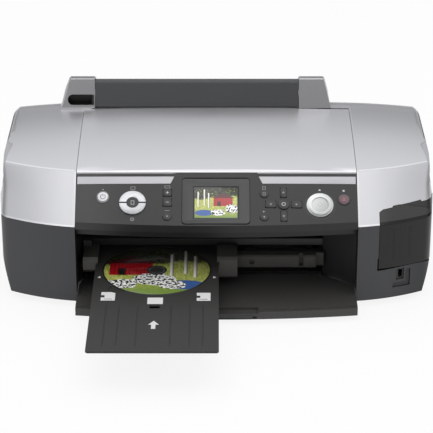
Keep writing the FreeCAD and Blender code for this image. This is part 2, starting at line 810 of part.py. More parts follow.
def panel_housing():
    shape = panel_block(0, panel_half, 60).fuse(
        front_arc_block(0, panel_half, 60, panel_base_height - lip_height, panel_base_height))
    inner = panel_block(wall, panel_half - wall, 62).fuse(
        front_arc_block(wall, panel_half - wall, 62, panel_base_height - lip_height + wall,
                        panel_base_height - 1.6))
    shape = shape.cut(inner)
    under = panel_base_height - lip_height
    shape = shape.cut(box(-200, 200, at(brow_depth + wall), at(80), under - 1, under + wall + 0.01))
    brow = front_arc_block(brow_depth, panel_half, brow_depth + 14, under - brow_height, under)
    brow = brow.cut(front_arc_block(brow_depth + wall, panel_half - wall, brow_depth + 20,
                                    under - brow_height - 1, under + 1))
    shape = shape.fuse(brow)
    shape = shape.cut(box(-200, 200, at(panel_top_depth), at(100), 0, 200))
    for sign in (-1, 1):
        zone = trim_zone(sign, -3.0, trim_bottom + 0.2, -trim_recess, 6.0, 0.2, 5.0)
        shape = shape.cut(on_band(zone))
    shape = shape.cut(fuse(button_holes()))
    hub = Part.makeCylinder(mode_hub_radius, wall + mode_rise - 0.4, Vector(0, 0, -wall))
    bridge = Part.makeBox(2 * mode_radius + 2, mode_bridge - 2 * shake, wall + 0.3,
                          Vector(-mode_radius - 1, -mode_bridge / 2 + shake, -wall))
    shape = shape.fuse(on_panel(hub.fuse(bridge), mode_x, mode_down))
    x, down = lcd_centre()
    width = lcd_right - lcd_left
    height = lcd_bottom - lcd_top
    pocket = rounded_block(width + 2 * fit, height + 2 * fit + 0.8, lcd_corner, -lcd_thickness - 0.6, 9)
    pocket.translate(Vector(0, -0.4, 0))
    cup = rounded_block(width + 2 * fit + 2.4, height + 2 * fit + 3.2, lcd_corner + 1,
                        -lcd_thickness - 2.2, -1.0)
    cup.translate(Vector(0, -0.4, 0))
    shape = shape.fuse(on_panel(cup, x, down).cut(box(-200, 200, at(panel_top_depth), at(100), 0, 200)))
    reach = width / 2 + fit + lcd_pin_reach + 0.1
    pins = rod_x(-reach, reach, height / 2 - lcd_pin_inset, -lcd_pin_drop, lcd_pin_radius + running)
    shape = shape.cut(on_panel(pocket, x, down)).cut(on_panel(pins, x, down))
    for post_x in (-150.0, -68.0, 62.5, 150.0):
        for post_down in (20.0, 50.0):
            post = Part.makeBox(5, 5, board_drop, Vector(-2.5, -2.5, -board_drop - 1.5))
            shape = shape.fuse(on_panel(post, post_x, post_down)
                               .cut(board_block(math.copysign(1, post_x))))
    shape = shape.cut(box(-200, 200, at(panel_top_depth), at(100), 0, 200))
    save("panel_housing", max(shape.Solids, key=lambda solid: solid.Volume))


def board_block(sign):
    """One circuit board lying under the panel's left or right half."""
    block = Part.makeBox(108, 52, board_thickness, Vector(-54, -26, -board_drop - board_thickness))
    return on_panel(block, sign * 98.0, 34.0)


def button_board():
    boards = []
    for sign in (-1, 1):
        board = board_block(sign)
        switches = []
        places = [(x, d, 0, w / 2) for x, d, w, _ in round_buttons.values()]
        places += [(x, d, 0, w / 2 + 1.2) for x, d, w, _ in long_keys.values()]
        places += [(mode_x, mode_down, offset, mode_flange_half) for offset in (-10.6, 10.6)]
        for x, down, offset, half in places:
            if x * sign < 0:
                continue
            side = switch_side
            top = flange_top(x, down, half) - cap_flange - button_travel - 0.25
            block = Part.makeBox(side, side, top + board_drop + 1.4,
                                 Vector(-side / 2, -side / 2 + offset, -board_drop - 1.4))
            switches.append(on_panel(block, x, down))
        boards.append(fuse([board] + switches))
    save("button_board", group(boards))


def buttons():
    for name, (x, down, diameter, rise) in round_buttons.items():
        radius = diameter / 2
        flange_high = flange_top(x, down, radius)
        cap = Part.makeCylinder(radius, rise - flange_high, Vector(0, 0, flange_high))
        if name == "start_button":
            collar = Part.makeCylinder(radius + 1, 1.2, Vector(0, 0, rise - 1.2))
            cap = cap.cut(collar.cut(Part.makeCylinder(radius - start_step, 1.2, Vector(0, 0, rise - 1.2))))
            cap = cap.cut(Part.makeCylinder(start_dish_radius, 0.8, Vector(0, 0, rise - 0.8)))
        flange = button_outline(diameter, diameter + 2 * cap_flange_side, 0,
                                flange_high - cap_flange, flange_high)
        save(name, on_panel(cap.fuse(flange), x, down))
    for name, (x, down, width, height) in long_keys.items():
        flange_high = flange_top(x, down, width / 2 + 1.2)
        cap = corner_flat(width, height, 1.2, flange_high, cap_rise)
        flange = button_outline(width + (1.4 if width > height else 0), height, 0.4,
                                flange_high - cap_flange, flange_high)
        save(name, on_panel(cap.fuse(flange), x, down))
    flange_high = flange_top(mode_x, mode_down, mode_flange_half)
    flange_low = flange_high - cap_flange
    for name, upper in (("mode_button_upper", True), ("mode_button_lower", False)):
        cap = half_ring(upper, 0, flange_high, mode_rise)
        y0 = 7.6 if upper else -7.6 - 6.0
        flange = Part.makeBox(2 * mode_flange_half, 6.0, cap_flange, Vector(-mode_flange_half, y0, flange_low))
        hook = Part.makeBox(6, 1.6, cap_flange, Vector(-3, 13.6 if upper else -15.2, flange_low))
        save(name, on_panel(cap.fuse(flange).fuse(hook), mode_x, mode_down))


def panel_trim():
    strips = []
    for sign in (-1, 1):
        strip = on_band(trim_zone(sign, trim_top, trim_bottom, -6.0, 4.0, 0, 0))
        strips.append(strip.common(panel_block(-0.2, panel_half, 60)).cut(
            on_band(Part.makeBox(400, 30, 40, Vector(-200, -20, -40 - trim_recess)))))
    save("panel_trim", group(strips))


def display():
    x, down = lcd_centre()
    width = lcd_right - lcd_left
    height = lcd_bottom - lcd_top
    profile = [(-height / 2, 1.2 - lcd_thickness), (1.2 - height / 2, -lcd_thickness),
               (height / 2 - 3.4, -lcd_thickness), (height / 2, 3.4 - lcd_thickness),
               (height / 2, -0.4), (height / 2 - 1.0, lcd_rise), (-height / 2, lcd_rise)]
    body = rounded_block(width, height, lcd_corner, -lcd_thickness, lcd_rise)
    body = body.common(along_x(profile, -width / 2, width / 2))
    sx = (screen_left + screen_right) / 2 - x
    sy = down - (screen_top + screen_bottom) / 2
    sw = screen_right - screen_left
    sh = screen_bottom - screen_top

    def window(grow, low, high):
        w, h = sw + 2 * grow, sh + 2 * grow
        return Part.makeBox(w, h, high - low, Vector(sx - w / 2, sy - h / 2, low))

    face = lcd_rise - screen_depth
    body = body.cut(window(0.1, face - screen_thickness, lcd_rise + 1))
    reach = width / 2 + fit + lcd_pin_reach
    body = body.fuse(rod_x(-reach, reach, height / 2 - lcd_pin_inset, -lcd_pin_drop, lcd_pin_radius))
    save("lcd_bezel", on_panel(body, x, down))
    save("lcd_screen", on_panel(window(0, face - screen_thickness, face), x, down))


# ---- trays --------------------------------------------------------------------------------
def tray_plan(grow):
    """Outline of the output tray's floor behind the lip."""
    half = mouth_half - 1.0 - grow
    flare = right_flare_x - 2.6 - grow
    return [(-half, at(0)), (half, at(0)), (half, at(wall_turn_depth - 1.5)),
            (flare, at(tray_axis_depth)), (left_wall_end + 2.2 + grow, at(tray_axis_depth)),
            (-half, at(wall_turn_depth))]


def tray_front(setback, half, z0, z1):
    left = Vector(-half, at(-tray_corner_reach + setback), z0)
    mid = Vector(0, at(-tray_middle_reach + setback), z0)
    right = Vector(half, left.y, z0)
    back_right = Vector(half, at(0), z0)
    back_left = Vector(-half, at(0), z0)
    wire = Part.Wire([arc(left, mid, right), line(right, back_right), line(back_right, back_left),
                      line(back_left, left)])
    return Part.Face(wire).extrude(Vector(0, 0, z1 - z0))


def output_tray():
    low = tray_floor_top - tray_floor
    half = mouth_half - 0.4
    floor = along_z(tray_plan(0), low, tray_floor_top)
    for x0, x1 in tray_post_spans():
        floor = floor.cut(box(x0 - fit, x1 + fit, at(tray_axis_depth) - post_reach - 2 * fit,
                              at(tray_axis_depth + 10), 0, 50))
    front = tray_front(0, half, tray_lip_bottom, tray_floor_top - 1.0)
    front = front.fuse(tray_front(4.0, half, tray_lip_bottom, tray_floor_top))
    room = tray_front(wall, half - wall, tray_lip_bottom - 1, low)
    middle = box(-scoop_half - wall, scoop_half + wall, at(-60), at(2), 0, 50)
    front = front.cut(room.cut(box(-200, 200, at(-wall), at(2), 0, 50)).cut(middle))
    scoop = box(-scoop_half, scoop_half, at(-60), at(-tray_middle_reach + scoop_depth),
                tray_floor_top - scoop_drop, 30)
    front = front.cut(scoop)
    mouth = box(-extension_half - fit, extension_half + fit, at(-60), at(2),
                tray_lip_bottom + 1.2, tray_lip_bottom + 1.2 + extension_thickness + 2 * shake)
    lip_room = box(-extension_half + 4 - fit, extension_half - 4 + fit, at(-60),
                   at(-tray_middle_reach) + 2.8 + fit, tray_lip_bottom + 2,
                   tray_lip_bottom + 1.2 + extension_thickness + pull_lip + 2 * shake)
    front = front.cut(mouth).cut(lip_room)
    barrel = rod_x(left_wall_end + 4, right_flare_x - 5, at(tray_axis_depth), tray_axis_height,
                   tray_barrel)
    rails = []
    for x in (-extension_half - fit - 1.6, extension_half + fit):
        rails.append(box(x, x + 1.6, at(-36), at(extension_rear), tray_lip_bottom, low))
        inner = x - 2.4 if x > 0 else x + 1.6
        rails.append(box(inner, inner + 2.4, at(-36), at(extension_rear), tray_lip_bottom,
                         tray_lip_bottom + 1.2))
    case = fuse([floor, front, barrel] + rails)
    pins = []
    for x0, x1 in ((left_wall_end + 1, left_wall_end + 5), (right_flare_x - 6, right_flare_x - 2)):
        pins.append(rod_x(x0, x1, at(tray_axis_depth), tray_axis_height, 1.5))
    save("output_tray", fuse([case] + pins))


def tray_extension():
    """Plate that slides out from under the tray's lip, with its pull lip in the scoop."""
    low = tray_lip_bottom + 1.2 + shake
    high = low + extension_thickness
    front = at(-tray_middle_reach + 0.6)
    plate = box(-extension_half, extension_half, front + 2, at(extension_rear), low, high)
    lip = box(-extension_half + 4, extension_half - 4, front, front + 2.2, low, high + pull_lip)
    groove = fuse([box(x, x + 6, front + 8, at(extension_rear - 6), high - 0.6, high + 1)
                   for x in (-36, -12, 12, 30)])
    save("tray_extension", plate.fuse(lip).cut(groove))


def disc_tray():
    x0 = disc_tray_middle - disc_tray_width / 2
    x1 = disc_tray_middle + disc_tray_width / 2
    low = disc_tray_top - disc_tray_thickness
    plate = box(x0, x1, at(disc_tray_front), at(disc_tray_rear), low, disc_tray_top)
    uprights = [edge for edge in plate.Edges if edge.BoundBox.ZLength > 1]
    plate = plate.makeChamfer(2.0, uprights)
    floor = disc_tray_top - disc_recess
    y = at(0)
    x = disc_tray_middle
    plate = plate.cut(rod_z(floor, disc_tray_top + 1, x, y, disc_radius + disc_rim))
    angle = math.radians(228)
    thumb_x = x + (disc_radius + 2) * math.cos(angle)
    thumb_y = y + (disc_radius + 2) * math.sin(angle)
    plate = plate.cut(rod_z(floor, disc_tray_top + 1, thumb_x, thumb_y, thumb_radius))
    hub = rod_z(floor, disc_tray_top + 0.4, x, y, disc_hole_radius - 0.1)
    hub = hub.cut(rod_z(disc_tray_top - 0.6, disc_tray_top + 1, x, y, 4.0))
    plate = plate.fuse(hub)
    for side in (-1, 1):
        for offset in (18.0, 38.0, 52.0):
            centre = x + side * offset
            plate = plate.cut(box(centre - 0.6, centre + 0.6, at(disc_tray_front + 12), at(-84),
                                  disc_tray_top - 0.5, disc_tray_top + 1))
    slot_y = at(-82.6)
    plate = plate.cut(box(x - 5.5, x + 5.5, slot_y - 9, slot_y, low - 1, disc_tray_top + 1))
    save("disc_tray", plate)
    disc = rod_z(floor, floor + disc_thickness, x, y, disc_radius)
    disc = disc.cut(rod_z(floor - 1, floor + 3, x, y, disc_hole_radius))
    save("disc", disc)


def disc_guide():
    """Guide that carries the disc tray: left rail, right block and the bar beside it."""
    x0 = disc_tray_middle - disc_tray_width / 2
    x1 = disc_tray_middle + disc_tray_width / 2
    low = disc_tray_top - disc_tray_thickness - shake
    high = disc_tray_top + shake
    depth0, depth1 = 14.0, 56.0
    left = box(x0 - 14.5, x0 + 2.5, at(depth0), at(depth1), low - 8, high + 7)
    left = left.makeChamfer(4.0, [edge for edge in left.Edges if abs(edge.BoundBox.XLength - 17) < 0.01
                                  and edge.CenterOfMass.y < at(depth0 + 1)])
    leg = box(left_wall_end + 0.3, x0 - 6, at(46), at(depth1), low - 18, high + 14)
    shelf = box(x0 - 10, x1 + 14, at(42), at(depth1), low - 5, low)
    block = box(x1 - 2.0, x1 + 21.0, at(depth0 + 4), at(depth1), low - 17, high + 6)
    block = block.makeChamfer(3.0, [edge for edge in block.Edges
                                    if abs(edge.BoundBox.XLength - 23) < 0.01
                                    and edge.CenterOfMass.y < at(depth0 + 5)])
    bar = box(x1 + 20.0, x1 + 110.2, at(38), at(50), 30.0, 46.0)
    bar = bar.makeChamfer(2.0, [edge for edge in bar.Edges
                                if edge.BoundBox.XLength > 80 and edge.CenterOfMass.y < at(39)])
    bar = bar.cut(rod_y(at(37), at(42), x1 + 37.5, 38.0, 3.0))
    bar = bar.cut(box(x1 + 91, x1 + 96, at(37), at(44), 33.0, 46.5))
    tab = box(x1 + 108, x1 + 119.3, at(46), at(49.7), 30.0, 46.0)
    tab = tab.cut(along_z([(right_flare_x - 0.3, at(60)), (right_flare_x - 0.3, at(right_flare_depth)),
                           (mouth_half - seam - 0.3, at(wall_turn_depth)), (300, at(wall_turn_depth)),
                           (300, at(60))], 0, 100))
    guide = fuse([left, leg, shelf, block, bar, tab])
    groove = box(x0 - shake, x1 + shake, at(depth0 - 5), at(depth1 + 5), low, high)
    save("disc_guide", guide.cut(groove))


# ---- base, frame and rear -----------------------------------------------------------------
def tray_post_spans():
    """X spans of the two posts that carry the output tray's hinge pins."""
    return ((left_wall_end + 0.3, left_wall_end + 3.4), (right_flare_x - 4.4, right_flare_x - 1.0))


def base_frame():
    outline = plan_outline(wall + 4.5)
    outline.translate(Vector(0, 0, foot_height))
    plate = outline.extrude(Vector(0, 0, wall))
    plate = plate.common(envelope(cover_thickness + wall + 0.3, wall + 0.3))
    plate = plate.cut(box(-mouth_half + 1, mouth_half - 1, at(-10), at(extension_rear + 4), 0, 50))
    ribs = []
    top = foot_height + wall + 3
    for x in (-160.0, 188.2):
        ribs.append(box(x, x + 2, at(62), at(body_depth - 14), foot_height, top))
    for y in (at(64), at(150)):
        ribs.append(box(-160, 189, y, y + 2, foot_height, top))
    hinge = []
    for x0, x1 in tray_post_spans():
        post = box(x0, x1, at(tray_axis_depth) - post_reach, at(tray_axis_depth) + 6.0, foot_height,
                   tray_axis_height + 3.4)
        post = post.cut(rod_x(x0 - 5, x1 + 5, at(tray_axis_depth), tray_axis_height, 1.5 + running))
        hinge.append(post)
    base = fuse([plate] + ribs + hinge)
    save("base_frame", base)


def foot_places():
    places = []
    for x in (-205.0, 205.0):
        for depth in (42.0, body_depth - 22):
            places.append((x, at(depth)))
    return places


def feet():
    shapes = []
    for x, y in foot_places():
        shapes.append(rod_z(0, foot_height, x, y, foot_radius))
    save("feet", group(shapes))


def rear_cover():
    x0, x1, z0, z1 = rear_window
    y1 = at(body_depth) - 0.6
    panel = box(x0 + seam, x1 - seam, y1 - wall, y1, z0 + seam, z1 - seam)
    slots = [box(x, x + 3, y1 - 5, y1 + 1, 66, 86) for x in range(-110, 80, 9)]
    tray_slot = box(disc_tray_middle - disc_tray_width / 2 - 4, disc_tray_middle + disc_tray_width / 2 + 4,
                    y1 - 5, y1 + 1, disc_tray_top - 10, disc_tray_top + 8)
    tabs = [box(x, x + 14, y1 - wall - 2, y1 - wall, z0 - 5, z0 + 8) for x in (-120.0, -20.0, 70.0)]
    tabs += [box(x, x + 14, y1 - wall - 2, y1 - wall, z1 - 8, z1 + 4.5) for x in (-120.0, -20.0, 70.0)]
    save("rear_cover", fuse([panel] + tabs).cut(fuse(slots)).cut(tray_slot))


def mechanism_frame():
    low = foot_height + wall
    side = [(at(57), low), (back_plate_y + plate_thickness, low),
            (back_plate_y + plate_thickness, back_plate_top), (back_plate_y - 10, back_plate_top),
            (at(115), plate_top), (at(69), 62), (at(57), 50)]
    plates = [along_x(side, left_plate - plate_thickness, left_plate),
              along_x(side, right_plate, right_plate + plate_thickness)]
    back = box(left_plate - plate_thickness, right_plate + plate_thickness, back_plate_y,
               back_plate_y + plate_thickness, back_plate_low, back_plate_top)
    rail = box(left_plate, right_plate, back_plate_y - 8, back_plate_y, back_plate_top - plate_thickness,
               back_plate_top)
    lip = box(left_plate, right_plate, back_plate_y - 8, back_plate_y - 8 + plate_thickness,
              back_plate_top - 6, back_plate_top)
    frame = fuse(plates + [back, rail, lip])
    for y, z, radius in ((feed_y, feed_height, journal_radius + running),
                         (eject_y, eject_height, journal_radius + running),
                         (shaft_y, shaft_height, shaft_radius)):
        frame = frame.cut(rod_x(left_plate - 5, right_plate + 5, y, z, radius))
    gear_pin = idler_centre()
    frame = frame.fuse(rod_x(left_plate - plate_thickness - gear_width - 2, left_plate,
                             gear_pin[0], gear_pin[1], 2.5))
    pinion = pinion_centre()
    frame = frame.cut(rod_x(left_plate - 5, left_plate + 5, pinion[0], pinion[1], 4.0))
    frame = frame.cut(rod_y(back_plate_y - 5, back_plate_y + 5, motor_pulley_x, pulley_height, 4.0))
    frame = frame.fuse(rod_y(pulley_y - 1.0, back_plate_y + 0.5, idler_pulley_x, pulley_height, 2.0))
    save("mechanism_frame", frame)
    save("carriage_shaft", rod_x(left_plate - plate_thickness - 2, right_plate + plate_thickness + 2,
                                 shaft_y, shaft_height, shaft_radius))


def drive_motors():
    y, z = pinion_centre()
    feed = rod_x(left_plate, left_plate + motor_length, y, z, motor_radius - 1.0)
    belt = rod_y(back_plate_y + plate_thickness, back_plate_y + plate_thickness + motor_length,
                 motor_pulley_x, pulley_height, motor_radius)
    save("drive_motors", group([feed, belt]))


# ---- gears, pulleys and rollers -----------------------------------------------------------
def involute(angle):
    return math.tan(angle) - angle


def gear(teeth, phase, x0, x1, y, z):
    """Spur gear with an X axis; one tooth points phase radians up from +Y."""
    pitch = gear_module * teeth / 2
    base = pitch * math.cos(pressure_angle)
    tip = pitch + 0.92 * gear_module
    root = pitch - 1.22 * gear_module
    half = math.pi / (2 * teeth) - backlash / (2 * pitch) + involute(pressure_angle)
    flank = []
    for radius in (max(root, base * 1.001), pitch, tip):
        flank.append((radius, half - involute(math.acos(base / radius))))
    if root < base:
        flank.insert(0, (root, flank[0][1]))
    points = []
    for index in range(teeth):
        centre = phase + index * 2 * math.pi / teeth
        profile = [(r, centre - a) for r, a in flank] + [(r, centre + a) for r, a in reversed(flank)]
        points += [Vector(x0, y + r * math.cos(a), z + r * math.sin(a)) for r, a in profile]
    return face_of(points).extrude(Vector(x1 - x0, 0, 0))


def pitch_radius(teeth):
    return gear_module * teeth / 2


def meeting_point(a, reach_a, b, reach_b):
    """Upper point at the given distances from two centres in the YZ plane."""
    dy, dz = b[0] - a[0], b[1] - a[1]
    span = math.hypot(dy, dz)
    along = (reach_a ** 2 - reach_b ** 2 + span ** 2) / (2 * span)
    off = math.sqrt(reach_a ** 2 - along ** 2)
    uy, uz = dy / span, dz / span
    candidates = [(a[0] + along * uy - off * uz, a[1] + along * uz + off * uy),
                  (a[0] + along * uy + off * uz, a[1] + along * uz - off * uy)]
    return max(candidates, key=lambda point: point[1])


def idler_centre():
    feed = (feed_y, feed_height)
    eject = (eject_y, eject_height)
    return meeting_point(feed, pitch_radius(feed_teeth + idler_teeth), eject,
                         pitch_radius(idler_teeth + eject_teeth))


def pinion_centre():
    angle = math.radians(38)
    reach = pitch_radius(feed_teeth + pinion_teeth)
    return feed_y + reach * math.cos(angle), feed_height + reach * math.sin(angle)


def meshed_phase(centre_a, teeth_a, phase_a, centre_b, teeth_b):
    """Phase that puts gear b's gaps on gear a's teeth."""
    line_angle = math.atan2(centre_b[1] - centre_a[1], centre_b[0] - centre_a[0])
    return line_angle + math.pi + math.pi / teeth_b - (phase_a - line_angle) * teeth_a / teeth_b


def rollers():
    feed = (feed_y, feed_height)
    eject = (eject_y, eject_height)
    idler = idler_centre()
    pinion = pinion_centre()
    gear_right = left_plate - plate_thickness - 0.4
    gear_left = gear_right - gear_width
    idler_phase = meshed_phase(feed, feed_teeth, 0.0, idler, idler_teeth)
    pinion_phase = meshed_phase(feed, feed_teeth, 0.0, pinion, pinion_teeth)
    eject_phase = meshed_phase(idler, idler_teeth, idler_phase, eject, eject_teeth)
    end = right_plate + plate_thickness + 0.5
    roll_left = left_plate + 0.5
    roll_right = right_plate - 0.5
    feed_roller = fuse([rod_x(roll_left, roll_right, feed_y, feed_height, feed_radius),
                        rod_x(gear_left, end, feed_y, feed_height, journal_radius),
                        gear(feed_teeth, 0.0, gear_left, gear_right, *feed)])
    save("feed_roller", feed_roller)
    shapes = [rod_x(gear_left, end, eject_y, eject_height, journal_radius),
              gear(eject_teeth, eject_phase, gear_left, gear_right, *eject)]
    shapes.append(rod_x(roll_left, roll_left + 2, eject_y, eject_height, eject_radius - 1))
    for x in tyre_places():
        shapes.append(rod_x(x - eject_tyre / 2, x + eject_tyre / 2, eject_y, eject_height, eject_radius))
    save("eject_roller", fuse(shapes))
    wheel = gear(idler_teeth, idler_phase, gear_left, gear_right, *idler)
    save("idler_gear", wheel.cut(rod_x(gear_left - 1, gear_right + 1, idler[0], idler[1], 2.5 + running)))
    small = gear(pinion_teeth, pinion_phase, gear_left, gear_right, *pinion)
    axle = rod_x(gear_left, left_plate - 0.2, pinion[0], pinion[1], motor_shaft_radius)
    save("motor_pinion", fuse([small, axle]))


def pulleys_and_belt():
    y0, y1 = pulley_y, pulley_y + pulley_width
    z = pulley_height
    for name, x in (("motor_pulley", motor_pulley_x), ("idler_pulley", idler_pulley_x)):
        wheel = rod_y(y0, y1, x, z, pulley_radius - 0.05)
        wheel = wheel.cut(box(x - 5, x + 5, y0 - 0.5, y0 + 0.8, z - 1, z + 1))
        if name == "motor_pulley":
            wheel = wheel.fuse(rod_y(y1, back_plate_y + plate_thickness - 0.2, x, z, motor_shaft_radius))
        else:
            wheel = wheel.cut(rod_y(y0 - 2, y1 + 1, x, z, 2.0 + running))
        save(name, wheel)
    outer = pulley_radius + belt_thickness
    belt = []
    for radius in (outer, pulley_radius):
        ends = rod_y(y0 + 0.5, y1 - 0.5, motor_pulley_x, z, radius).fuse(
            rod_y(y0 + 0.5, y1 - 0.5, idler_pulley_x, z, radius))
        belt.append(ends.fuse(box(idler_pulley_x, motor_pulley_x, y0 + 0.5, y1 - 0.5,
                                  z - radius, z + radius)))
    save("timing_belt", belt[0].cut(belt[1]))


def carriage():
    x0 = carriage_park - carriage_width / 2
    x1 = carriage_park + carriage_width / 2
    front, rear = carriage_front, shaft_y + shaft_radius + 4.0
    tub = box(x0, x1, front, tub_rear, carriage_base + 4, carriage_top)
    bay0 = carriage_park - cartridge_count * cartridge_pitch / 2
    bays = box(bay0 - 0.6, bay0 + cartridge_count * cartridge_pitch + 0.6, front + wall, tub_rear - wall,
               carriage_base + 8, carriage_top + 1)
    tub = tub.cut(bays)
    tub = tub.cut(along_x([(front - 1, 80), (front - 1, 120), (front + 14, 120)], x0 - 1, x1 + 1))
    head = box(x0 + 16, x1 - 16, front + 10, tub_rear - 12, carriage_base, carriage_base + 4)
    saddle = box(x0, x1, tub_rear, rear, carriage_base + 14, shaft_height + shaft_radius + 4.0)
    saddle = saddle.cut(rod_x(x0 - 1, x1 + 1, shaft_y, shaft_height, shaft_radius + running))
    low_run = pulley_height - pulley_radius - belt_thickness
    clamp = box(carriage_park - 12, carriage_park + 12, tub_rear, pulley_y + pulley_width,
                low_run - 4.2, low_run - shake)
    post = box(carriage_park - 12, carriage_park + 12, tub_rear, pulley_y + 0.5 - shake,
               low_run - 4.2, low_run + belt_thickness + shake + 2.0)
    finger = box(carriage_park - 12, carriage_park + 12, pulley_y - 2, pulley_y + pulley_width,
                 low_run + belt_thickness + shake, low_run + belt_thickness + shake + 2.0)
    mast = box(carriage_park - 20, carriage_park + 20, tub_rear, tub_rear + 4, 76, back_plate_top - 8)
    arm = box(carriage_park - 20, carriage_park + 20, tub_rear, back_plate_y - 8 - shake,
              back_plate_top - 8, back_plate_top - 4)
    body = fuse([tub, head, saddle, clamp, post, finger, mast, arm])
    save("carriage", body)
    tanks = []
    for index in range(cartridge_count):
        left = bay0 + index * cartridge_pitch + 0.3
        right = left + cartridge_pitch - 0.6
        tank = box(left, right, front + wall + 6, tub_rear - wall - 0.3, carriage_base + 8, cartridge_top)
        tab = box(left + 3, right - 3, front + wall + 1.0, front + wall + 6, cartridge_top - 6,
                  cartridge_top - 3)
        tanks.append(tank.fuse(tab))
    save("ink_cartridges", group(tanks))


def platen():
    top = disc_tray_top - disc_tray_thickness - 0.5
    y0, y1 = eject_y + eject_radius + 2.0, feed_y - feed_radius - 1.5
    deck = box(-150, 110, y0, y1, top - 7, top - 2)
    ribs = [box(x, x + 1.6, y0, y1, top - 2.5, top) for x in range(-142, 106, 22)]
    legs = [box(x, x + 6, y0 + 14, y1 - 14, foot_height + wall, top - 5) for x in (-150, 104)]
    save("platen", fuse([deck] + ribs + legs))


def tyre_places():
    """Middles of the eject roller's rubber tyres, each under a star wheel."""
    return [tyre_first + index * tyre_pitch for index in range(tyre_count)]


def star(x, y, z):
    """Thin spiked wheel that holds fresh prints down without smearing them."""
    points = []
    for index in range(2 * star_points):
        radius = star_radius if index % 2 == 0 else star_radius - 1.0
        angle = index * math.pi / star_points
        points.append(Vector(x, y + radius * math.cos(angle), z + radius * math.sin(angle)))
    return face_of(points).extrude(Vector(star_thickness, 0, 0))


def star_wheels():
    """Row of star wheels under a beam that spans the mechanism."""
    y = eject_y
    z = disc_tray_top + 0.5 + star_radius
    beam = box(left_plate, right_plate, y - 9, y - 6.5, z - 1, z + 7)
    roof = box(left_plate, 118, y - 6.5, y + 5, z + 5, z + 7)
    shapes = [beam, roof]
    for x in tyre_places():
        shapes.append(star(x, y, z))
        shapes.append(box(x + star_thickness, x + star_thickness + 1.2, y - 1.5, y + 1.5, z - 1.2, z + 5))
    save("star_wheels", fuse(shapes))


def capping_station():
    low = foot_height + wall
    station = box(118, 186, at(79), at(127), low, 40)
    station = station.cut(box(122, 182, at(83), at(123), 34, 45))
    cap = box(134, 166, at(87), at(115), 33, carriage_base - 0.5)
    cap = cap.cut(box(136.5, 163.5, at(89.5), at(112.5), 42, 60))
    wiper = box(126, 128, at(93), at(111), 33, carriage_base - 0.5)
    save("capping_station", fuse([station, cap, wiper]))


def waste_ink_pad():
    low = foot_height + wall
    save("waste_ink_pad", box(-140, 100, at(80), at(145), low, low + 14))


def feeder_plate_line():
    """Upper and lower end of the leaning plate that the paper rests on, in the YZ plane."""
    return (at(body_depth - 8), 156.0), (at(198), 60.0)


def feeder_frame():
    (y_top, z_top), (y_low, z_low) = feeder_plate_line()
    outline = [(y_top, z_top), (y_low, z_low), (at(175), 51.5), (at(175), 49.0), (y_low + 1.5, 55.5),
               (y_top + 2.6, z_top - 4)]
    chute = along_x(outline, slot_left + 0.5, slot_right - 0.5)
    cheek = [(at(175), foot_height + wall), (y_top - 7, foot_height + wall), (y_top + 2.5, z_top - 4),
             (y_top + 2.5, z_top), (y_top - 17, z_top), (at(179), 96.0), (at(173), 86.0),
             (at(173), 49.0)]
    cheeks = [along_x(cheek, slot_left - 2.5, slot_left + 0.5),
              along_x(cheek, slot_right - 0.5, slot_right + 2.5)]
    frame = fuse([chute] + cheeks)
    frame = frame.cut(rod_x(slot_left - 5, slot_right + 5, pickup_y, pickup_height,
                            journal_radius + running))
    save("feeder_frame", frame)


def pickup_roller():
    axle = rod_x(slot_left - 3.5, slot_right + 3.5, pickup_y, pickup_height, journal_radius)
    tyres = [rod_x(x, x + 22, pickup_y, pickup_height, pickup_radius) for x in (34.0, -46.0)]
    save("pickup_roller", fuse([axle] + tyres))


def edge_guide():
    """Fence that slides along the feeder plate to the paper's edge."""
    (y_top, z_top), (y_low, z_low) = feeder_plate_line()
    length = math.hypot(y_top - y_low, z_top - z_low)
    uy, uz = (y_top - y_low) / length, (z_top - z_low) / length

    def point(up, off):
        return y_low + uy * up - uz * off, z_low + uz * up + uy * off

    fence = [point(30, shake), point(96, shake), point(96, 14), point(78, 16), point(30, 9)]
    foot = [point(40, shake), point(90, shake), point(90, 2.2), point(40, 2.2)]
    x = -122.0
    save("edge_guide", along_x(fence, x, x + 2.4).fuse(along_x(foot, x - 14, x)))


def paper_support():
    """Flap over the sheet feeder: leaning front, top and rear, turning on a barrel at the rear."""
    lean = (ear_top_front - ear_front) / (ear_top - crown_height)

    def front_y(z, inner):
        return at(ear_front + 0.9 + lean * (z - crown_height)) + inner

    top = support_top
    rear = at(support_axis_depth) + support_barrel
    outline = [(front_y(support_foot_height, 0), support_foot_height), (front_y(top - 1.5, 0), top - 1.5),
               (front_y(top, 1.2), top), (rear - 2, top - 1.0), (rear, top - 3.5),
               (rear, support_axis_height), (rear - wall, support_axis_height),
               (rear - wall, top - 5.2), (front_y(top - 3.2, wall + 0.6), top - 3.2),
               (front_y(support_foot_height, wall), support_foot_height)]
    x0, x1 = slot_left + fit, slot_right - fit
    shell = along_x(outline, x0, x1)
    barrel = rod_x(x0, x1, at(support_axis_depth), support_axis_height, support_barrel)
    ribs = []
    web = [(front_y(support_foot_height + 6, 1), support_foot_height + 6), (front_y(top - 2, 1), top - 2),
           (rear - 1, top - 2), (rear - 1, support_axis_height), (rear - 6, top - 8),
           (front_y(top - 8, 6), top - 8)]
    for x in (-104.0, -64.0, -24.0, 16.0, 56.0):
        ribs.append(along_x(web, x, x + 2))
    pins = rod_x(slot_left - 2.2, slot_right + 2.2, at(support_axis_depth), support_axis_height,
                 hinge_pin_radius)
    save("paper_support", fuse([shell, barrel, pins] + ribs))


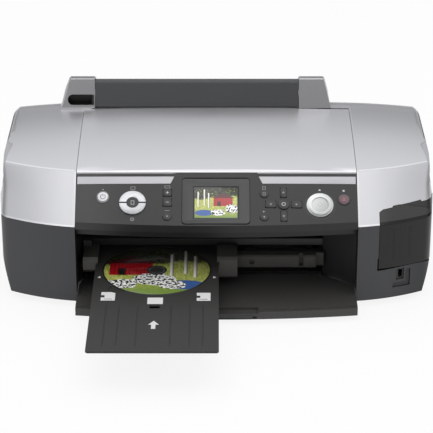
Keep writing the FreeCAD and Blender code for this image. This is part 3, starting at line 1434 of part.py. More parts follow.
# ---- electronics --------------------------------------------------------------------------
def power_supply():
    x0, x1, z0, z1 = inlet_window
    rear = at(body_depth - wall) - 0.2
    low = foot_height + wall
    case = box(-226, -168, at(194), rear, low, 56)
    plug = box(x0 + 0.3, x1 - 0.3, rear - 1, at(body_depth) - 0.4, z0 + 0.3, z1 - 0.3)
    recess = box(x0 + 5, x1 - 5, rear - 14, at(body_depth) + 1, z0 + 5, z1 - 5)
    pins = [rod_y(rear - 14.5, at(body_depth) - 2, (x0 + x1) / 2 + dx, (z0 + z1) / 2, 1.5)
            for dx in (-4.5, 4.5)]
    save("power_supply", fuse([case.fuse(plug).cut(recess)] + pins))


def main_board():
    x0, x1, z0, z1 = usb_window
    low = foot_height + wall
    rear = at(body_depth - wall) - 0.3
    board = box(112, 222, at(178), rear, low + 5, low + 6.6)
    posts = [box(x, x + 5, y, y + 5, low, low + 5) for x in (116, 212)
             for y in (at(182), at(body_depth - 12))]
    chips = [box(130, 152, at(196), at(218), low + 6.6, low + 9.6),
             box(165, 179, at(190), at(200), low + 6.6, low + 9.0)]
    socket = box(x0 + 0.4, x1 - 0.4, at(body_depth - 16), rear, low + 6.6, z1 - 0.4)
    socket = socket.fuse(box(x0 + 0.4, x1 - 0.4, rear - 1, at(body_depth) - 0.6, z0 + 0.4, z1 - 0.4))
    hole = box(x0 + 2.4, x1 - 2.4, at(body_depth - 12), at(body_depth) + 1, z0 + 1.6, z1 - 2.4)
    tongue = box(x0 + 5, x1 - 5, at(body_depth - 12.5), at(body_depth - 3), z0 + 4.4, z1 - 5.2)
    save("main_board", fuse([fuse([board] + posts + chips + [socket]).cut(hole), tongue]))


def card_reader():
    """Card slots behind the door, and the camera port below them, on one stalk."""
    low = foot_height + wall
    x0, x1 = 187.0, 226.0
    y0, y1 = at(30), at(55)
    block = box(x0, x1, y0, y1, 50.0, 96.0)
    for z, height in ((84.0, 4.0), (72.0, 4.0), (59.0, 5.0)):
        block = block.cut(box(x0 + 2, x1 - 2, y0 - 1, y1 - 3, z, z + height))
    stalk = box(x0 + 5, x1 - 4, y1 - 12, y1, low, 51.0)
    port = box(port_left - 1.5, port_right + 1.5, at(24), y1, port_low - 1.5, port_high + 1.5)
    port = port.common(envelope(cover_thickness + wall + 0.4, wall + 0.4))
    nose = box(port_left + 0.4, port_right - 0.4, at(10), at(40), port_low + 0.4, port_high - 0.4)
    nose = nose.common(envelope(2, 1.5))
    hole = box(port_left + 1.9, port_right - 1.9, at(0), at(44), port_low + 2.0, port_high - 2.0)
    first, last = door_barrel_places
    pin = on_door_axis(rod_x(first - 1.5, last + 7.5, 0, 0, door_pin_radius))
    arms = [on_door_axis(box(along, along + 4, -door_barrel, 40, -door_barrel, door_barrel))
            .common(box(0, 300, at(-75), y0 + 1, 0, 200)) for along in (first + 7.5, last - 5.5)]
    save("card_reader", fuse([block, stalk, port.fuse(nose).cut(hole), pin] + arms))


def case_screws():
    shapes = []
    y = at(body_depth) - 0.6
    for x in (-145.0, 105.0):
        for z in (22.0, 88.0):
            shapes.append(rod_y(y, y + screw_head, x, z, screw_radius))
    save("case_screws", group(shapes))


def main():
    os.makedirs("parts", exist_ok=True)
    outer, cored, shell = case_shell()
    side_covers(outer)
    card_door(outer)
    lower_case(shell)
    upper_case(outer, cored, shell)
    lid(outer)
    panel_housing()
    panel_trim()
    button_board()
    buttons()
    display()
    output_tray()
    tray_extension()
    disc_tray()
    disc_guide()
    base_frame()
    feet()
    rear_cover()
    mechanism_frame()
    drive_motors()
    rollers()
    pulleys_and_belt()
    carriage()
    platen()
    star_wheels()
    capping_station()
    waste_ink_pad()
    feeder_frame()
    pickup_roller()
    edge_guide()
    paper_support()
    power_supply()
    main_board()
    card_reader()
    case_screws()


main()
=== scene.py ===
import json
import math

import bmesh
import bpy
import numpy as np
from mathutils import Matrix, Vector

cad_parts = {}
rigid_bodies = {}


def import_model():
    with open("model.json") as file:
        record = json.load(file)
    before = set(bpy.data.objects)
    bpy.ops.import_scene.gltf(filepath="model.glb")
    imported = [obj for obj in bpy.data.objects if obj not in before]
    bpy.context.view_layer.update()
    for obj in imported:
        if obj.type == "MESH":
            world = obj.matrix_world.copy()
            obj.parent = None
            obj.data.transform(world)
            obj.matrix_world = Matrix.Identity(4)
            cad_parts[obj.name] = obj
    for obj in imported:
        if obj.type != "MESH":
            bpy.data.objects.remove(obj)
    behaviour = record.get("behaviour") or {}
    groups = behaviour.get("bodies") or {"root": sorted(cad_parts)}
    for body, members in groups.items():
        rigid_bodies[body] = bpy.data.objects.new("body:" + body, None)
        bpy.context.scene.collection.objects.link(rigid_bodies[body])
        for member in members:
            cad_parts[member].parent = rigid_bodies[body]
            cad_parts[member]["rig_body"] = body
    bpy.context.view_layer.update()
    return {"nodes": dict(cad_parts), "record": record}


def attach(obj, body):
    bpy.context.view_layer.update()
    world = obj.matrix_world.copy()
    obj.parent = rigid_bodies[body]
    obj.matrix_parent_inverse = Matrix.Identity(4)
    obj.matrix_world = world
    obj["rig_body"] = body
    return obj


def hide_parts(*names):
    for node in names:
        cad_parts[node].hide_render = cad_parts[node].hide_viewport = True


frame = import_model()
nodes = frame["nodes"]
mm = 0.001


def reach(name):
    """Lowest and highest corner of a node's mesh, in millimetres."""
    corners = np.array([tuple(corner) for corner in nodes[name].bound_box]) / mm
    return corners.min(axis=0), corners.max(axis=0)


def srgb(red, green, blue):
    """Linear colour of a display colour given as 0 to 255."""
    parts = np.array([red, green, blue]) / 255.0
    linear = np.where(parts <= 0.04045, parts / 12.92, ((parts + 0.055) / 1.055) ** 2.4)
    return (float(linear[0]), float(linear[1]), float(linear[2]), 1.0)


# ---- form of the case, in millimetres -----------------------------------------------------
# Depths count back from the front of the cheeks.
front = reach("lower_case")[0][1]
lid_rear = reach("lid")[1][1] - front
disc_x, disc_y = [(low + high) / 2 for low, high in zip(*reach("disc"))][:2]
disc_radius = 60.0

foot_half, foot_height = 233.0, 8.0
waist_half, waist_height = 247.0, 95.0
crease_half, crease_height = 238.8, 142.7
shoulder_radius = 20.0
shoulder_low, shoulder_high = math.radians(15), math.radians(80)
mouth_half = 157.0
cheek_start, cheek_radius = math.radians(8), 220.0
corner_start_half, corner_half = 233.0, 241.8
flank_half, rear_half = 247.6, 243.0
body_depth, rear_radius = 250.0, 15.0
split_height, incline = 99.7, 1.075
crown_height, crown_depth, crown_radius = 161.5, 200.0, 780.0
crown_cross_radius, crown_side_radius = 8000.0, 700.0
panel_top_depth, panel_top_height, panel_base_height = 47.6, 144.2, 106.0
panel_bulge = 10.0

# Places of the panel's pieces: X, and distance down the slope from the panel's top edge.
mode_place, start_place, screen_place = (-92.9, 39.1), (114.5, 41.6), (-0.6, 39.2)
cross_x, cross_down, cross_reach, cross_rise = 74.2, 41.1, 14.3, 15.2

# Bends of the outer skin, in millimetres.  Pairs are runs along one axis over which a bend sets in.
fall_start, fall_radius = lid_rear + 12.0, 60.0
left_foot, right_foot = (-187.5, -150.5), (104.0, 137.5)    # X beside the ears
left_wall, right_wall = (-176.0, -148.5), (102.0, 127.5)    # X beyond the paper support's hinge pins
left_lean, right_lean = 0.354, 0.263                        # how far the ears' walls lean, for 1 up
ear_front_lean = 0.457
shoulder_rise, shoulder_end = (100.0, 145.0), (162.0, 168.0)
wall_rise, support_rise = (163.0, 190.0), (177.0, 186.0)
notch_drop = 3.4
notch_end, notch_back = (-146.3, -144.3), (218.0, 222.0)
notch_foot, notch_top = (158.0, 166.0), (180.0, 187.0)
fuller_by, fuller_rise, fuller_reach = 4.8, (120.0, 150.0), (195.0, 235.0)
thinner_by, thinner_rise, thinner_back = 2.6, (100.0, 110.0), (62.0, 110.0)
door_cut = (105.0, 114.1, 126.0, 142.0)     # heights round the door's top edge as cut,
door_shown = (105.0, 110.2, 116.0, 142.0)   # and as shown
door_flank, door_back = (172.0, 180.0), (50.0, 60.0)


# ---- camera -------------------------------------------------------------------------------
focal_pixels, picture_pixels = 1950.0, 433.0
film_width = 36.0
camera_ahead, camera_height, camera_tilt = 1.94588, 1.02015, math.radians(65.0)

camera_data = bpy.data.cameras.new("camera")
camera_data.sensor_width = film_width
camera_data.lens = film_width * focal_pixels / picture_pixels
camera_data.clip_end = 50.0
camera = bpy.data.objects.new("camera", camera_data)
camera.location = (0.0, front * mm - camera_ahead, camera_height)
camera.rotation_euler = (camera_tilt, 0.0, 0.0)
bpy.context.scene.collection.objects.link(camera)
bpy.context.scene.camera = camera
bpy.context.scene.view_settings.view_transform = "Standard"


# ---- shader writing -----------------------------------------------------------------------
class Value:
    """A shader socket that takes part in Python sums and products."""

    def __init__(self, tree, link):
        self.tree = tree
        self.link = link

    def math(self, operation, *others):
        inputs = dict(enumerate((self,) + others))
        return node(self.tree, "ShaderNodeMath", {"operation": operation}, inputs)[0]

    def __add__(self, other):
        return self.math("ADD", other)

    __radd__ = __add__

    def __mul__(self, other):
        return self.math("MULTIPLY", other)

    __rmul__ = __mul__

    def __sub__(self, other):
        return self.math("SUBTRACT", other)

    def __rsub__(self, other):
        return node(self.tree, "ShaderNodeMath", {"operation": "SUBTRACT"}, {0: other, 1: self})[0]

    def __truediv__(self, other):
        return self.math("DIVIDE", other)

    def __abs__(self):
        return self.math("ABSOLUTE")

    def lowest(self, other):
        return self.math("MINIMUM", other)

    def highest(self, other):
        return self.math("MAXIMUM", other)

    def root(self):
        return self.math("SQRT")

    def sine(self):
        return self.math("SINE")

    def step(self, low, high):
        """0 below low and 1 above high, with a soft rise between."""
        return node(self.tree, "ShaderNodeMapRange", {"interpolation_type": "SMOOTHSTEP"},
                    {"Value": self, "From Min": low, "From Max": high})["Result"]

    def band(self, low, high, soft):
        """1 between low and high, with edges as wide as soft."""
        return self.step(low - soft / 2, low + soft / 2) * (1 - self.step(high - soft / 2, high + soft / 2))


class Outputs:
    """The output sockets of a shader node, by name or number."""

    def __init__(self, tree, made):
        self.tree = tree
        self.made = made

    def __getitem__(self, key):
        return Value(self.tree, self.made.outputs[key])


def node(tree, kind, settings=None, inputs=None):
    """A shader node of that type, with its settings made first and its sockets fed after."""
    made = tree.nodes.new(kind)
    for key, setting in (settings or {}).items():
        setattr(made, key, setting)
    for key, fed in (inputs or {}).items():
        if isinstance(fed, Value):
            tree.links.new(fed.link, made.inputs[key])
        else:
            made.inputs[key].default_value = fed
    return Outputs(tree, made)


class Finish:
    """A surface finish: one Principled shader with its pattern written as expressions."""

    def __init__(self, name, colour, roughness, metallic=0.0, **more):
        self.material = bpy.data.materials.new(name)
        self.material.use_nodes = True
        self.tree = self.material.node_tree
        self.tree.nodes.clear()
        self.shader = self.tree.nodes.new("ShaderNodeBsdfPrincipled")
        out = self.tree.nodes.new("ShaderNodeOutputMaterial")
        self.tree.links.new(self.shader.outputs[0], out.inputs[0])
        self.put("Base Color", colour)
        self.put("Roughness", roughness)
        self.put("Metallic", metallic)
        for key, fed in more.items():
            self.put(key.replace("_", " "), fed)

    def put(self, key, fed):
        if isinstance(fed, Value):
            self.tree.links.new(fed.link, self.shader.inputs[key])
        else:
            self.shader.inputs[key].default_value = fed

    def where(self):
        return node(self.tree, "ShaderNodeTexCoord")["Object"]

    def place(self):
        """X, Y and Z of the surface in millimetres, in the frame of the whole object."""
        split = node(self.tree, "ShaderNodeSeparateXYZ", None, {0: self.where()})
        return [split[axis] * 1000.0 for axis in ("X", "Y", "Z")]

    def noise(self, size, detail=2.0, rough=0.5, stretch=(1.0, 1.0, 1.0)):
        """Cloudy noise about 0.5, with blobs of that size in millimetres."""
        scaled = node(self.tree, "ShaderNodeMapping", None, {"Vector": self.where(), "Scale": stretch})
        sockets = {"Vector": scaled["Vector"], "Scale": 1000.0 / size, "Detail": detail, "Roughness": rough}
        return node(self.tree, "ShaderNodeTexNoise", None, sockets)["Fac"]

    def cells(self, size, feature="F1"):
        """Distance within cells of that size in millimetres."""
        return node(self.tree, "ShaderNodeTexVoronoi", {"feature": feature},
                    {"Vector": self.where(), "Scale": 1000.0 / size})["Distance"]

    def mix(self, share, low, high):
        """The colour low where share is 0, and high where it is 1."""
        return node(self.tree, "ShaderNodeMix", {"data_type": "RGBA"}, {0: share, 6: low, 7: high})[2]

    def shade(self, colour, share):
        """The colour made darker or lighter by share, a factor about 1."""
        return node(self.tree, "ShaderNodeVectorMath", {"operation": "SCALE"},
                    {0: colour if isinstance(colour, Value) else colour[:3], "Scale": share})[0]

    def bump(self, height, distance):
        """Raised and sunk places; distance is in millimetres for a height of 1."""
        made = node(self.tree, "ShaderNodeBump", None,
                    {"Height": height, "Distance": distance * mm, "Strength": 1.0})
        self.put("Normal", made["Normal"])


# ---- places on the control panel and on the printed pieces --------------------------------
def panel_reach(x):
    """Horizontal run of the panel's slope at X."""
    return panel_top_depth + panel_bulge * (1 - (x / mouth_half) ** 2)


def on_panel(finish, x0, down0):
    """Right and up distances along the panel from a place X0 that lies down0 below its top edge."""
    x, y, z = finish.place()
    angle = math.atan2(panel_top_height - panel_base_height, panel_reach(x0))
    y0 = front + panel_top_depth - down0 * math.cos(angle)
    z0 = panel_top_height - down0 * math.sin(angle)
    return x - x0, (y - y0) * math.cos(angle) + (z - z0) * math.sin(angle)


def block(u, v, u0, u1, v0, v1, soft=0.25):
    """1 inside a rectangle, with soft edges."""
    return u.band(u0, u1, soft) * v.band(v0, v1, soft)


def ring(u, v, inner, outer, soft=0.25):
    return (u * u + v * v).root().band(inner, outer, soft)


def disc_mark(u, v, radius, soft=0.25):
    return 1 - (u * u + v * v).root().step(radius - soft / 2, radius + soft / 2)


def triangle(u, v, half, high, soft=0.25):
    """Triangle with its base on v = 0 and its tip at v = high."""
    edge = (v / high + abs(u) / half).step(1 - soft / high, 1 + soft / high)
    return (1 - edge) * v.step(-soft / 2, soft / 2)


def frame_mark(u, v, half_wide, half_high, line):
    """Outline of a rectangle about the origin."""
    outer = block(u, v, -half_wide, half_wide, -half_high, half_high)
    return outer * (1 - block(u, v, line - half_wide, half_wide - line, line - half_high, half_high - line))


def over(finish, layers, base):
    """Colours laid over one another: each layer is a mask and the colour it brings."""
    for mask, colour in layers:
        base = finish.mix(mask, base, colour)
    return base


# ---- plastics, paint and metal ------------------------------------------------------------
def moulded(name, colour, roughness, grain=0.35, depth=0.012, mottle=0.06, marks=None, share=None, **more):
    """Moulded plastic: an even colour with slight clouds and a fine spark-eroded grain.

    marks, if given, takes the finish and returns layers laid over the plastic: print, and in places painted
    shade; share is a factor on the tone, which in places carries painted light and shade.
    """
    finish = Finish(name, colour, roughness, **more)
    clouds = finish.noise(38.0, 3.0)
    fine = finish.noise(grain, 2.0, 0.6)
    tone = 1 + (clouds - 0.5) * mottle + (fine - 0.5) * mottle
    base = finish.shade(colour, tone * share(finish) if share else tone)
    finish.put("Base Color", over(finish, marks(finish), base) if marks else base)
    finish.put("Roughness", roughness + (fine - 0.5) * 0.16 + (clouds - 0.5) * 0.06)
    finish.bump(fine, depth)
    return finish


def silver_paint(name, colour, roughness, share=None, metallic=0.6, dark=None):
    """Silver lacquer: metal flakes that differ a little in tone and tilt under a soft clear coat.

    share, if given, is a factor on the tone, which in places also carries painted light and shade.  dark gives
    masks and colours laid over the lacquer without its metal: places without lacquer, and painted shade.
    """
    finish = Finish(name, colour, roughness, metallic, Coat_Weight=0.1, Coat_Roughness=0.3)
    flakes = finish.cells(0.18)
    clouds = finish.noise(60.0, 3.0)
    tone = 0.985 + (flakes - 0.4) * 0.07 + (clouds - 0.5) * 0.02
    if share:
        tone = tone * share(finish)
    base = finish.shade(colour, tone)
    if dark:
        layers = dark(finish)
        # The dark masks, painted shade among them, take the metal out of the lacquer.
        dark_cover = sum((mask for mask, _ in layers), 0.0).lowest(1.0)
        base = over(finish, layers, base)
        finish.put("Metallic", (1 - dark_cover) * metallic)
    finish.put("Base Color", base)
    finish.put("Roughness", roughness + (flakes - 0.4) * 0.1)
    finish.bump(finish.noise(0.9, 2.0), 0.003)
    return finish


# How much painted shade darkens the ears, and how much less of it the right ear gets.
ear_painted_shade, right_ear_less_shade = 0.44, 0.1
cheek_sweep = (0.1405, 0.00236, 0.0000045)      # depth of the cheek's front for 1 out, its square and its cube

# Painted areas: lowest and highest X, then lowest and highest Z.
notch_mouth, notch_side = (-178.5, -145.6, 160.0, 177.5), (-149.0, -145.0, 164.2, 175.4)
# The next two areas hold painted shade on the right and lower walls of the camera port's pocket.
pocket_shade_beside, pocket_shade_below = (212.6, 218.0, 20.0, 41.0), (198.0, 218.0, 20.0, 25.8)
step_left, step_right, step_low = 197.0, 229.0, 113.9       # the step along the top of the card door's corner


def case_light_and_shade(finish):
    """Painted shade on the ears, slopes and rear corners, and painted highlights along the crease and the
    foot.
    """
    x, y, z = finish.place()
    depth = y - front
    on_ear = z.step(crown_height - 1.0, crown_height + 1.0)
    out = (abs(x) - mouth_half).highest(0.0)
    on_cheek = out.step(1.0, 2.0) * (1 - on_ear)
    sweep = out * (cheek_sweep[0] + out * (cheek_sweep[1] + out * cheek_sweep[2]))
    behind_crease = depth - (z - split_height) * incline - sweep
    # Painted highlights along the crease and the foot, and painted shade on the slopes, the rear corners and
    # the ears.
    crease_glint = behind_crease.band(0.6, 2.6, 1.2) * z.step(140.5, 141.5) * 0.3
    foot_glint = z.band(99.0, 101.2, 0.5) * 0.22
    slope_dark = (1 - behind_crease.step(0.4, 1.4)) * 0.11
    rear_dark = (depth.step(110.0, 190.0) - depth.step(196.0, 222.0)) * 0.13
    ear_dark = on_ear * (ear_painted_shade - x.step(0.0, 1.0) * right_ear_less_shade)
    return 1 - ear_dark + (crease_glint + foot_glint - slope_dark - rear_dark) * on_cheek


def notch_shade_and_door_corner(finish):
    """Painted shade inside the finger notch, and the corner that carries on the card door's smoky tone, with
    its dark rim and the door's painted shadow band.
    """
    x, y, z = finish.place()
    depth = y - front
    into_ear = depth - (z - crown_height) * ear_front_lean - crown_depth
    # Painted shade inside the finger notch.
    notch = into_ear.step(1.4, 2.2) * block(x, z, *notch_mouth, 0.4)
    notch = notch.highest(block(x, z, *notch_side, 0.4)) * (1 - depth.step(212.0, 213.0))
    slid = (z - door_shown[0]).highest(0.0) * 0.75 + (z - door_shown[1]).highest(0.0) * 0.3
    front_edge = (depth + slid * incline).step(36.9, 37.3)
    beside_door = front_edge * (1 - depth.step(64.0, 64.4)) * x.step(184.0, 185.0)
    top = step_low + x.band(step_left, step_right, 1.0) * (0.2 + (x - step_left) * 0.04)
    corner = (top - z).step(0.0, 0.3) * z.step(99.6, 99.8) * beside_door
    rim = (1 - (top - z).step(0.8, 1.1)) * corner
    shadow = z.band(98.0, 102.4, 0.8) * beside_door
    return [(notch, srgb(12, 11, 10)), (corner, srgb(30, 30, 29)), (rim.highest(shadow), srgb(14, 14, 14))]


def flank_shade(finish):
    """The flank covers are a little darker above the waist."""
    return 1 - finish.place()[2].step(96.0, 104.0) * 0.25


def cover_corner(finish):
    """The covers' upper front corners are lacquered, up to a slanting line."""
    _, y, z = finish.place()
    before_line = (z - 116.0) / 34.0 - (y - front - 62.0) / 75.0
    return [(before_line.step(0.0, 0.01), srgb(172, 173, 175))]


def port_pocket_shade(finish):
    """Painted shade on the right and lower walls of the sunk pocket round the camera port."""
    x, y, z = finish.place()
    shaded_walls = block(x, z, *pocket_shade_beside, 0.3).highest(block(x, z, *pocket_shade_below, 0.3))
    in_front = 1 - (y - front).step(80.0, 81.0)
    return [(shaded_walls * in_front * 0.8, srgb(30, 31, 33))]


def panel_light_and_shade(finish):
    """Painted light on the panel, lightest at its left end and top, and painted shade on its brow, which lies
    in the dark of the mouth.
    """
    x, _, z = finish.place()
    left_end, above_foot = 1 - x.step(-150.0, -90.0), z.step(104.0, 142.0)
    brow = 1 - z.step(96.5, 98.5)
    return (0.74 + left_end * 1.75 + above_foot * 0.25) * (1 - brow * 0.75)


def lower_shade(finish):
    """The lower case darkens towards its right end, and painted shade darkens the walls inside the mouth."""
    x, y, _ = finish.place()
    depth = y - front
    right_end = x.step(185.0, 240.0) * (1 - depth.step(60.0, 200.0))
    # Painted shade inside the mouth.
    in_mouth = x.band(-156.8, 156.8, 0.4) * (1 - depth.step(60.0, 61.0))
    return 1 - right_end * 0.52 - in_mouth * 0.5


mark_white, mark_grey = srgb(205, 206, 206), srgb(150, 151, 150)


def card_sign(half_wide, half_high):
    return lambda u, v: frame_mark(u, v, half_wide, half_high, 0.5)


def dot_sign(u, v):
    return disc_mark(u, v, 0.9)


def panel_marks(finish):
    """Small plain signs beside the keys: card, screen, disc, sheet and dots, with no lettering."""
    mode_x, mode_down = mode_place
    start_x, start_down = start_place
    signs = [
        (mode_x, mode_down, lambda u, v: disc_mark(u, v, 6.5), srgb(46, 46, 47)),
        (mode_x, mode_down, lambda u, v: ring(u, v, 15.0, 16.6), srgb(40, 40, 41)),
        (mode_x, mode_down, lambda u, v: frame_mark(u, v, 1.9, 2.6, 0.6), srgb(190, 190, 190)),
        (-126.0, 21.2, lambda u, v: disc_mark(u, v, 0.8), mark_grey),
        (mode_x, 19.6, card_sign(2.6, 1.9), mark_grey),
        (mode_x, 59.5, lambda u, v: ring(u, v, 1.5, 2.2) + disc_mark(u, v, 0.5), mark_grey),
        (-54.6, 18.4, card_sign(3.0, 1.7), mark_grey),
        (-54.6, 49.0, lambda u, v: block(u, v, -2.6, 2.6, -0.3, 0.3), mark_grey),
        (52.8, 19.8, lambda u, v: card_sign(1.8, 2.4)(u, v) + block(u, v, -0.8, 0.8, -0.2, 0.2), mark_grey),
        (52.5, 50.4, lambda u, v: triangle(v, u + 1.2, 1.3, 2.6), mark_grey),
        (start_x, 21.8, lambda u, v: triangle(u, v + 1.0, 1.6, 2.2), mark_white),
        (141.2, 22.6, lambda u, v: block(u, v, -1.1, 1.1, -1.1, 1.1), mark_white),
        (start_x, start_down, lambda u, v: ring(u, v, 15.2, 17.2), srgb(48, 48, 49)),
    ]
    return [(draw(*on_panel(finish, x0, down0)), colour) for x0, down0, draw, colour in signs]


def key_marks(x0, down0, draw, rim, colour):
    """Layers of one key: a dark line near its edge and the sign in its middle."""
    def marks(finish):
        u, v = on_panel(finish, x0, down0)
        layers = [(rim(u, v), srgb(20, 20, 20))] if rim else []
        return layers + [(draw(u, v), colour)]
    return marks


def arrow(turn):
    """Small triangle that points up (0), right (1), down (2) or left (3)."""
    def draw(u, v):
        along, across = [(v, u), (u, v), (v * -1.0, u), (u * -1.0, v)][turn]
        return triangle(across, along + 0.9, 1.5, 2.3)
    return draw


# Printed areas of the disc tray: lowest and highest X, then lowest and highest depth.
tray_labels = ((-125.4, -110.1, -73.8, -53.9), (-21.4, -6.5, -74.4, -55.6), (-74.7, -57.9, -82.0, -67.0))
label_cuts = ((-125.6, -121.5, -66.5, -61.2), (-21.6, -17.6, -67.5, -62.5))
label_lines = ((-122.0, -113.2, -71.0, -69.6), (-18.6, -9.6, -71.6, -70.2))
arrow_shaft, arrow_shoulder = (-69.0, -64.4, -138.3, -128.6), -129.0
tick_left, tick_right, tick_depth = -128.5, -3.6, -18.0
tray_top = (46.6, 46.9)     # height of the tray's upper face


def tray_marks(finish):
    """White marks printed on the disc tray: three labels, an arrow that points inward and two ticks."""
    x, y, z = finish.place()
    depth = y - front
    soft = 0.4

    def printed(areas):
        return sum((block(x, depth, *area, soft) for area in areas), 0.0)

    white = printed(tray_labels) * (1 - printed(label_cuts)) + printed([arrow_shaft])
    white = white + triangle(x - disc_x, depth - arrow_shoulder, 5.8, 8.6, soft)
    for inward in ((x - tick_left) * -1.0, x - tick_right):
        white = white + triangle(depth - tick_depth, inward, 2.6, 3.4, soft)
    on_top = z.step(*tray_top)
    return [(white.lowest(1.0) * on_top, srgb(222, 222, 220)),
            (printed(label_lines) * on_top, srgb(120, 120, 119))]


def meadow(finish, u, v, pond_u, barn_u, fleck):
    """A plain landscape: dark trees, a bright meadow, a red barn, pale trunks, a pond and speckled stones."""
    leaves = finish.noise(fleck * 1.3, 4.0, 0.7)
    blossom = finish.noise(fleck * 0.65, 2.0).step(0.64, 0.68)
    blades = finish.noise(fleck * 0.8, 3.0, 0.7, (1.0, 0.35, 1.0))
    patches = finish.noise(fleck * 5.0, 2.0)
    hill = v - (u * 2.1).sine() * 0.07 + (patches - 0.5) * 0.3
    grass = finish.mix(blades.step(0.3, 0.75), srgb(132, 148, 58), srgb(204, 202, 116))
    grass = finish.mix((v * -1.0).step(0.3, 0.95), grass, srgb(110, 136, 56))
    trees = finish.mix(leaves.step(0.45, 0.66), srgb(10, 16, 9), srgb(44, 60, 26))
    base = finish.mix(hill.step(0.22, 0.36), grass, finish.mix(blossom, trees, srgb(190, 184, 74)))

    soft = 0.02
    planks = finish.shade(srgb(170, 20, 28), 0.85 + 0.15 * (u * 90.0).sine())
    water = ((u - pond_u) * (u - pond_u) / 0.17 + (v + 0.6) * (v + 0.6) / 0.036).root()
    ripples = finish.mix((v * 160.0).sine().step(-0.2, 0.9), srgb(26, 56, 120), srgb(86, 126, 186))
    layers = [
        (block(u, v, barn_u - 0.4, barn_u + 0.4, -0.2, 0.3, soft), planks),
        (triangle(u - barn_u, v - 0.28, 0.5, 0.3, soft), srgb(74, 16, 20)),
        (block(u, v, barn_u - 0.24, barn_u - 0.1, -0.2, 0.08, soft), srgb(30, 20, 18)),
        (1 - water.step(0.9, 1.0), ripples),
    ]
    for beside_pond, low, high in ((-0.24, -0.24, 0.66), (0.02, -0.16, 0.8), (0.2, -0.3, 0.58)):
        trunk_u = pond_u + beside_pond
        shaded = u.band(trunk_u + 0.01, trunk_u + 0.06, soft)
        bark = finish.mix(shaded, srgb(232, 230, 220), srgb(120, 112, 100))
        layers.append((block(u, v, trunk_u - 0.035, trunk_u + 0.035, low, high, 0.015), bark))
    spots = finish.noise(fleck * 1.2, 1.0, 0.4).step(0.5, 0.54)
    speckled = finish.mix(spots, srgb(234, 234, 230), srgb(20, 20, 22))
    for beside_barn, stone_v, wide in ((0.42, -0.36, 0.38), (-0.2, -0.58, 0.3), (0.8, -0.6, 0.24)):
        across, up = u - (barn_u + beside_barn), v - stone_v
        away = (across * across + up * up * 2.4).root() + (patches - 0.5) * 0.3
        layers.append((1 - away.step(wide - 0.02, wide), speckled))
    return over(finish, layers, base)


def disc_print():
    """Printed disc: a landscape out to the edge, with a dark hub round the hole and the tray's painted shadow
    round its rim.
    """
    finish = Finish("disc_print", srgb(150, 170, 70), 0.3, Coat_Weight=0.4, Coat_Roughness=0.12)
    x, y, _ = finish.place()
    u, v = (x - disc_x) / disc_radius, (y - disc_y) / disc_radius
    from_middle = (u * u + v * v).root() * disc_radius
    picture = meadow(finish, u, v, 0.52, -0.48, 2.6)
    picture = finish.mix(1 - from_middle.step(11.2, 11.5), picture, srgb(38, 38, 38))
    picture = finish.mix(from_middle.band(8.0, 8.8, 0.3), picture, srgb(120, 120, 122))
    # Painted shadow of the tray's recess round the disc's rim.
    picture = finish.mix(from_middle.step(58.7, 59.1), picture, srgb(30, 31, 28))
    finish.put("Base Color", picture)
    finish.put("Roughness", 0.3 + (finish.noise(3.0, 2.0) - 0.5) * 0.08)
    return finish


def screen_print():
    """Lit display: a landscape behind glass, with a thin dark border."""
    finish = Finish("display_picture", srgb(60, 80, 60), 0.16, Coat_Weight=0.5, Coat_Roughness=0.06)
    across, up = on_panel(finish, *screen_place)
    u, v = across / 25.0, up / 20.7
    picture = meadow(finish, u * 0.95, v * 0.95, -0.5, 0.3, 1.5)
    edge = 1 - block(u, v, -0.94, 0.94, -0.94, 0.94, 0.02)
    picture = finish.mix(edge, picture, srgb(14, 14, 15))
    finish.put("Base Color", picture)
    finish.put("Emission Color", picture)
    finish.put("Emission Strength", 0.35)
    finish.put("Roughness", 0.16 + (finish.noise(20.0, 2.0) - 0.5) * 0.04)
    return finish


def start_shade(finish):
    """The start button's cap: a turned line, a faint lozenge, painted shade in its dish and a painted slant
    from light at its upper left to shade at its lower right.
    """
    u, v = on_panel(finish, *start_place)
    lozenge = (abs(u) * 0.8 + abs(v)).band(2.2, 3.0, 0.3)
    # Painted light at the upper left and painted shade towards the lower right.
    slant = (u - v).step(-16.0, 20.0)
    return 1 - ring(u, v, 8.7, 9.3) * 0.25 - lozenge * 0.12 - disc_mark(u, v, 9.0, 3.0) * 0.16 - slant * 0.34


def cap_shade(finish):
    """Painted shade darkens the two halves round the paper sign towards their outer right and lower edge."""
    u, v = on_panel(finish, *mode_place)
    outer = (u * u + v * v).root().step(12.0, 15.5)
    return 1.05 - (u * 0.4 - v).step(-6.0, 18.0) * 0.3 - outer * 0.12


def smoked_door():
    """Smoky see-through plastic over the card slots, shown with the darker room behind it as painted shade,
    and a painted shadow line below its slope.
    """
    finish = Finish("smoked_door", srgb(30, 29, 27), 0.22, Coat_Weight=0.08, Coat_Roughness=0.1,
                    Specular_IOR_Level=0.3)
    x, _, z = finish.place()
    clouds = (finish.noise(25.0, 2.0) - 0.5) * 0.1
    ribs = x.band(196.0, 199.0, 1.0) + x.band(204.0, 206.0, 1.0) * 0.5 + x.band(214.0, 217.0, 1.0)
    window = finish.shade(srgb(30, 29, 27), 1 + clouds - ribs * z.band(54.0, 94.0, 3.0) * 0.35)
    slope = finish.shade(srgb(59, 59, 57), 1 + clouds)
    # Painted shadow line under the door's step, then the lighter slope above it.
    base = over(finish, [(z.step(98.0, 98.8), srgb(9, 9, 9)), (z.step(101.6, 102.4), slope)], window)
    finish.put("Base Color", base)
    finish.put("Roughness", 0.22 + (finish.noise(8.0, 3.0) - 0.5) * 0.05)
    return finish


